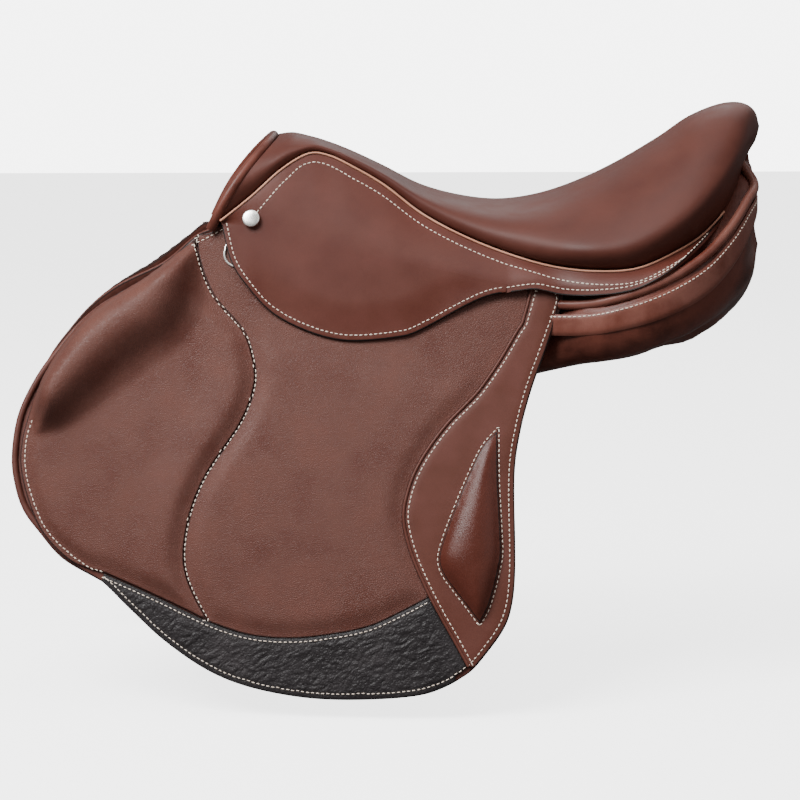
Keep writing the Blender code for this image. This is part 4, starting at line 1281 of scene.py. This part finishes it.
# %% Straps with punched holes
STRAP = leather("bridle_leather_strap", "5A362B", "46281F", "694336", 0.5, 0.02, roughness=0.4)
PLUMB = np.array([0, 0, -1]) + OUT * OUT[2]
PLUMB /= np.linalg.norm(PLUMB)
HANG = np.array([PLUMB @ ALONG, PLUMB @ DOWN])
HOLE_RADIUS, HOLE_PITCH = 2.2 * MM, 25.4 * MM
for which in ("front", "middle", "rear"):
    label = f"billet_{which}"
    loop = outline_of(f"{label}_left", 3 * MM)
    out_depth, in_depth = depths_of(label)
    tip_end = loop[np.argmax(loop @ HANG)]
    middle = loop.mean(axis=0)
    sideways = np.array([HANG[1], -HANG[0]])
    tip_end = tip_end + sideways * ((middle - tip_end) @ sideways)
    turn = np.linspace(0, 2 * np.pi, 13)[:-1]
    ring = HOLE_RADIUS * np.column_stack([np.cos(turn), np.sin(turn)])
    holes = [tip_end - HANG * (34 * MM + k * HOLE_PITCH) + ring for k in range(8)]
    strap = cut_leather(f"{label}_strap_left", loop, in_depth - out_depth, 4 * MM, 0.5 * MM, holes)
    lay(strap, in_depth, bowed=False)
    keep(strap, STRAP, f"{label}_left", (f"{label}_left",), "billet_leather")

# %% [markdown]
# ## Metal, wood and webbing
# The tree is laminated beech with steel springs and a steel head plate. The stirrup bars are
# forged steel, and the saddle nails and dees are nickel. Most of this is out of sight once the
# saddle is covered, so these pieces are the CAD solids with their flat faces joined and their
# edges broken, as a file does it. The nail's head and the dee, which show, are modelled anew.

# %% Metals
def metal(name, base, worn, roughness, metallic=1.0, scratches=260.0):
    made, tree, shader = blank_material(name, roughness, Metallic=metallic)
    place = node(tree, "ShaderNodeTexCoord").outputs["Object"]
    stains = node(tree, "ShaderNodeTexNoise", {"Scale": scratches, "Detail": 6.0,
                                               "Distortion": 0.6}, {"Vector": place})
    tree.links.new(ramp_of(tree, stains.outputs["Fac"], ((0.35, worn), (0.6, base))),
                   shader.inputs["Base Color"])
    tree.links.new(curve_of(tree, stains.outputs["Fac"], 0.3, 0.7, roughness + 0.1,
                            roughness - 0.05), shader.inputs["Roughness"])
    bump = node(tree, "ShaderNodeBump", {"Strength": 0.3, "Distance": 0.03 * MM},
                {"Height": stains.outputs["Fac"]})
    tree.links.new(bump.outputs["Normal"], shader.inputs["Normal"])
    return made


STEEL = metal("forged_zinc_plated_steel", "A9ABAD", "7E8082", 0.38)
NICKEL = metal("polished_nickel", "F6F4F0", "E6E3DC", 0.26, 0.85, 120.0)

# %% Beech laminate and webbing
BEECH, tree, shader = blank_material("laminated_beech", 0.55, Coat_Weight=0.2)
place = node(tree, "ShaderNodeTexCoord").outputs["Object"]
plies = node(tree, "ShaderNodeTexWave", {"bands_direction": "Z", "Scale": 1000 / 9.6,
                                         "Distortion": 0.6, "Detail": 1.0}, {"Vector": place})
drawn = node(tree, "ShaderNodeMapping", {"Scale": (40.0, 900.0, 900.0)}, {"Vector": place})
fibres = node(tree, "ShaderNodeTexNoise", {"Scale": 1.0, "Detail": 5.0},
              {"Vector": drawn.outputs["Vector"]})
wood = ramp_of(tree, fibres.outputs["Fac"], ((0.3, "A57E57"), (0.7, "C9A47A")))
ply = ramp_of(tree, plies.outputs["Fac"], ((0.1, "B79A7C"), (0.45, "FFFFFF")))
tree.links.new(blended(tree, 1.0, wood, ply, "MULTIPLY"), shader.inputs["Base Color"])

WEBBING, tree, shader = blank_material("woven_linen_webbing", 0.85)
place = node(tree, "ShaderNodeTexCoord").outputs["Object"]
warp = node(tree, "ShaderNodeTexWave", {"bands_direction": "X", "Scale": 1000 / 9.0},
            {"Vector": place})
weft = node(tree, "ShaderNodeTexWave", {"bands_direction": "Y", "Scale": 1000 / 11.0},
            {"Vector": place})
weave = node(tree, "ShaderNodeMath", {"operation": "MULTIPLY"},
             {0: warp.outputs["Fac"], 1: weft.outputs["Fac"]}).outputs["Value"]
tree.links.new(ramp_of(tree, weave, ((0.05, "9C8A6B"), (0.5, "DCCFB2"))),
               shader.inputs["Base Color"])
threads = node(tree, "ShaderNodeBump", {"Strength": 1.0, "Distance": 0.35 * MM},
               {"Height": weave})
tree.links.new(threads.outputs["Normal"], shader.inputs["Normal"])

POINT_LEATHER = leather("point_pocket_leather", "6A4231", "5B3628", "77503D", 0.6, 0.03,
                        roughness=0.55)


# %% Hard pieces from their CAD solids
def broken_edges(solid, look, slot, width, body="saddle"):
    """A CAD solid with its flat faces joined and its edges rounded."""
    name = solid.replace("_left", "") + "_finished" + ("_left" if "_left" in solid else "")
    mesh = NODES[solid].data.copy()
    mesh.name = name
    piece = bpy.data.objects.new(name, mesh)
    bpy.context.collection.objects.link(piece)
    pick(piece)
    bpy.ops.object.mode_set(mode="EDIT")
    bpy.ops.mesh.select_all(action="SELECT")
    bpy.ops.mesh.remove_doubles(threshold=2e-5)
    bpy.ops.mesh.dissolve_limited(angle_limit=math.radians(2))
    bpy.ops.object.mode_set(mode="OBJECT")
    modify(piece, "BEVEL", width=width, segments=3, limit_method="ANGLE",
           angle_limit=math.radians(35))
    smooth(piece, 40)
    store(piece, "edge", np.full(len(piece.data.vertices), 0.02))
    return keep(piece, look, body, (solid,), slot)


broken_edges("tree", BEECH, "beech_laminate", 1.2 * MM)
broken_edges("seat_webbing", WEBBING, "webbing", 0.4 * MM)
broken_edges("head_plate", STEEL, "steel", 0.5 * MM)
broken_edges("tree_spring_left", STEEL, "steel", 0.4 * MM)
broken_edges("stirrup_bar_left", STEEL, "steel", 0.8 * MM)
broken_edges("bar_rivet_left", STEEL, "steel", 0.4 * MM)
broken_edges("stirrup_catch_left", STEEL, "steel", 0.5 * MM, "stirrup_catch_left")
broken_edges("dee_chape_left", STRAP, "billet_leather", 0.5 * MM)

# %% Flat leather and webbing under the flap
for solid, look, slot in (("tree_point_left", POINT_LEATHER, "point_leather"),
                          ("billet_web_left", WEBBING, "webbing")):
    out_depth, in_depth = depths_of(solid.replace("_left", ""))
    cut = cut_leather(solid.replace("_left", "_cover_left"), outline_of(solid),
                      in_depth - out_depth, 4 * MM, 0.5 * MM)
    lay(cut, in_depth, bowed=False)
    keep(cut, look, "saddle", (solid,), slot)

# %% The saddle nail
# A flat nickel dome with a rounded rim, driven in square to the skirt.
nail_points = np.array([v.co for v in NODES["saddle_nail_left"].data.vertices])
nail_at = (nail_points.min(axis=0) + nail_points.max(axis=0)) / 2 + np.array([-2, 0, -2]) * MM
NAIL_RADIUS = 7.4 * MM
NAIL_AXIS = np.array([-0.12, -0.93, 0.35])
NAIL_AXIS /= np.linalg.norm(NAIL_AXIS)
bpy.ops.object.select_all(action="DESELECT")
bpy.ops.mesh.primitive_uv_sphere_add(segments=40, ring_count=24, radius=1.0)
nail = bpy.context.object
nail.name = nail.data.name = "saddle_nail_head_left"
ball = get_points(nail)
side = np.cross(NAIL_AXIS, [0, 0, 1.0])
side /= np.linalg.norm(side)
height = np.where(ball[:, 2] > 0, 2.0, 1.2) * MM * np.sign(ball[:, 2])
height *= np.sqrt(np.abs(ball[:, 2]))
head = ball[:, :1] * side + ball[:, 1:2] * np.cross(NAIL_AXIS, side)
set_points(nail, nail_at + NAIL_RADIUS * head + height[:, None] * NAIL_AXIS)
smooth(nail, 60)
keep(nail, NICKEL, "saddle", ("saddle_nail_left",), "nickel")

# %% The dee
# Bent from round wire: a straight bar through the leather chape, and a bow below it.
WIRE = 1.1 * MM
ring = to_pattern([v.co for v in NODES["dee_left"].data.vertices])
low, high = ring.min(axis=0) + WIRE, ring.max(axis=0) - WIRE
half, drop = (high[0] - low[0]) / 2, high[1] - low[1]
turn = np.linspace(0, np.pi, 17)
bow_u = (low[0] + high[0]) / 2 + half * np.cos(turn)
bow_v = high[1] - half + half * np.sin(turn)
bar_u = np.linspace(low[0], high[0], 8)
wire_u = np.concatenate([bow_u, bar_u])
wire_v = np.concatenate([bow_v, np.full(8, low[1])])
dee = cord("dee_wire_left", to_world(wire_u, wire_v, (low[2] + high[2]) / 2), WIRE, 3, closed=True)
keep(dee, NICKEL, "dee_left", ("dee_left",), "nickel")

# %% [markdown]
# ## Stitching
# The seams are sewn with thick waxed linen in a pale colour, about six stitches to the inch. A
# stitch is a short plump dash that sinks into the leather at both ends. One dash is modelled,
# and copied along each row, on the surface of the finished leather.

# %% One stitch, and rows of them
THREAD, thread_tree, thread_shader = blank_material("waxed_linen_thread", 0.6,
                                                    Specular_IOR_Level=0.3)
place = node(thread_tree, "ShaderNodeTexCoord").outputs["Object"]
twist = node(thread_tree, "ShaderNodeTexNoise", {"Scale": 2200.0, "Detail": 2.0},
             {"Vector": place})
thread_tree.links.new(ramp_of(thread_tree, twist.outputs["Fac"],
                              ((0.35, "CDB7A4"), (0.6, "F2E6D8"))),
                      thread_shader.inputs["Base Color"])
twist_bump = node(thread_tree, "ShaderNodeBump", {"Strength": 0.6, "Distance": 0.1 * MM},
                  {"Height": twist.outputs["Fac"]})
thread_tree.links.new(twist_bump.outputs["Normal"], thread_shader.inputs["Normal"])

STITCH_PITCH, STITCH_LENGTH, STITCH_RADIUS = 4.2 * MM, 2.8 * MM, 0.55 * MM
pick(floor)
bpy.ops.mesh.primitive_uv_sphere_add(segments=6, ring_count=6, radius=1.0)
dash = bpy.context.object
dash_points = get_points(dash)
dash_points = np.column_stack([
    np.sign(dash_points[:, 2]) * np.abs(dash_points[:, 2]) ** 0.7 * STITCH_LENGTH / 2,
    dash_points[:, 0] * STITCH_RADIUS, dash_points[:, 1] * STITCH_RADIUS * 0.8])
dash_faces = [tuple(f.vertices) for f in dash.data.polygons]
bpy.data.objects.remove(dash)


def surface_of(*pieces):
    points, faces = [], []
    for piece in pieces:
        start = len(points)
        points += [tuple(p) for p in get_points(piece)]
        faces += [tuple(start + i for i in f.vertices) for f in piece.data.polygons]
    return BVHTree.FromPolygons(points, faces)


def sew(name, rows, surface, body, sunk=0.12 * MM):
    """Stitches along rows of world points, on a surface."""
    points, faces = [], []
    for row in rows:
        row = spaced(row, STITCH_PITCH)
        ahead = np.gradient(row, axis=0)
        for spot, way in zip(row, ahead):
            hit, normal, *_ = surface.find_nearest(Vector(spot))
            if normal.dot(Vector(spot) - hit) < 0:
                normal = -normal
            way = Vector(way)
            way = (way - normal * way.dot(normal)).normalized()
            frame_of = np.array([way, normal.cross(way), normal])
            start = len(points) * len(dash_points)
            points.append(dash_points @ frame_of + np.array(hit + normal * sunk))
            faces += [tuple(start + i for i in f) for f in dash_faces]
    piece = new_piece(name, np.vstack(points), faces)
    smooth(piece, 80)
    return keep(piece, THREAD, body)


def on_flap(line, up=3.0 * MM):
    u, v = np.asarray(line).T
    return to_world(u, v, COVER_OUT - bow(u, v) - up)


def part_of(line, keep_these):
    """The unbroken runs of a line's points for which a test holds."""
    runs, run = [], []
    for point, inside in zip(line, keep_these):
        if inside:
            run.append(point)
        elif run:
            runs.append(np.array(run))
            run = []
    if run:
        runs.append(np.array(run))
    return [r for r in runs if len(r) > 4]


# %% Stitching on the flap
flap_skin = surface_of(flap, pad, centre, band, strip, thigh)
round_flap = set_in(OUTLINES["flap"], 4.3 * MM)
open_top = (round_flap[:, 1] > 12 * MM) | (round_flap[:, 0] < -11 * MM)
open_top |= round_flap[:, 0] > 275.5 * MM
clear_of_block = knee_rise(round_flap) < 0.6 * MM
clear_of_block &= ~((round_flap[:, 0] < -45 * MM) & (round_flap[:, 1] < 200 * MM))
turn = int(np.argmax(~open_top))
rows = part_of(np.roll(round_flap, -turn, axis=0), np.roll(open_top & clear_of_block, -turn))
rows = [curved(spaced(r, 13 * MM), 6) for r in rows]
s_row = towards(S_SEAM, (120, 150), 0.8 * MM)


def shared_edge(loop, *others):
    """The longest stretch of an outline that runs along another piece's outline."""
    near = [np.abs(distance(loop, closed_line(other))[0]) < 2.5 * MM for other in others]
    return longest_run(loop, np.any(near, axis=0))[0]


strip_top = shared_edge(strip_loop, pad_loop, panel_loop)
strip_row = towards(strip_top, (100, 360), 3.4 * MM)
band_edge = shared_edge(band_loop, panel_loop, strip_loop)
band_row = towards(band_edge, (262, 180), 4.2 * MM)
thigh_row = closed_line(thigh_loop)
rows += [s_row, strip_row, band_row, thigh_row]
sew("flap_stitching_left", [on_flap(r) for r in rows], flap_skin, "flap_left")

# %% [markdown]
# The band's front edge is turned over a thin cord, so that it shows as a fine raised line.

# %% Piped edge of the band
piped = cord("rear_band_piping_left",
             on_flap(spaced(towards(band_edge, (262, 180), 0.6 * MM), 3 * MM), 1.3 * MM),
             1.3 * MM)
keep(piped, BAND, "flap_left", (), "band_leather")

# %% Stitching on the skirt
def down_column(column, amount):
    """The point of a skirt column at a distance from its first point."""
    reach = np.concatenate([[0], np.cumsum(np.linalg.norm(np.diff(column, axis=0), axis=1))])
    return np.array([np.interp(amount, reach, column[:, k]) for k in range(3)])


outwards = np.array([-0.0, -3.0, 1.0]) * MM
skin = surface_of(skirt_top)
inner_row = [nail_at]
for column in skirt_rows:
    x = column[0, 0]
    inset = 9.5 + 5.5 * ease(-x, 0.165, 0.185) - 2.5 * ease(-x, 0.120, 0.150)
    if -0.196 < x < 0.16:
        inner_row.append(down_column(column, (inset + 2.5 * ease(x, 0.03, 0.10)) * MM))
tail_row = [down_column(c[::-1], 4.4 * MM) for c in skirt_rows[LOBE_COLUMNS - 1:-4]]
sew("skirt_top_stitching_left",
    [curved(r[::4], 6) + outwards for r in (inner_row, np.array(tail_row))], skin, "saddle")
lobe_row = towards(lobe_edge, (110, 20), 4.4 * MM)
lobe_row = lobe_row[lobe_row[:, 1] > 0]
u, v = lobe_row.T
sew("skirt_lobe_stitching_left", [to_world(u, v, -3 * MM)], surface_of(lobe),
    ("flap_left", "skirt_left", HINGE_END, BELOW_HINGE))

# %% Stitching on the panel
gusset_row = high_line + (low_line - high_line) * 0.12 + face * 4 * MM
sew("panel_stitching_left", [gusset_row], surface_of(gusset), "saddle")

# %% [markdown]
# ## The right side, and what moves with what
# The right half is the mirror image of the left. A mirror image turns every face inside out, so
# the faces are flipped back. Then each piece is told which CAD body it moves with and which CAD
# solids it stands for.

# %% Mirror, ride and replace
def other_side(name):
    return name.replace("_left", "_right")


def mirrored(piece):
    copy = piece.copy()
    copy.data = piece.data.copy()
    copy.name = copy.data.name = other_side(piece.name)
    bpy.context.collection.objects.link(copy)
    points = get_points(copy)
    points[:, 1] *= -1
    set_points(copy, points)
    copy.data.flip_normals()
    return copy


def settle(piece, body, replaced):
    """Say which body a piece moves with, and which CAD solids it stands for."""
    if isinstance(body, str):
        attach(piece, body)
    else:
        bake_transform(piece)
    if replaced:
        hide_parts(*replaced)


def on_right(body):
    if isinstance(body, str):
        return other_side(body)
    first, second, start, end = body
    return (other_side(first), other_side(second), (start[0], -start[1], start[2]),
            (end[0], -end[1], end[2]))


for piece, body, replaced, slot, fill in PIECES:
    if "_left" in piece.name:
        settle(mirrored(piece), on_right(body), [other_side(n) for n in replaced])
    settle(piece, body, replaced)
print(len(PIECES), "kinds of piece")
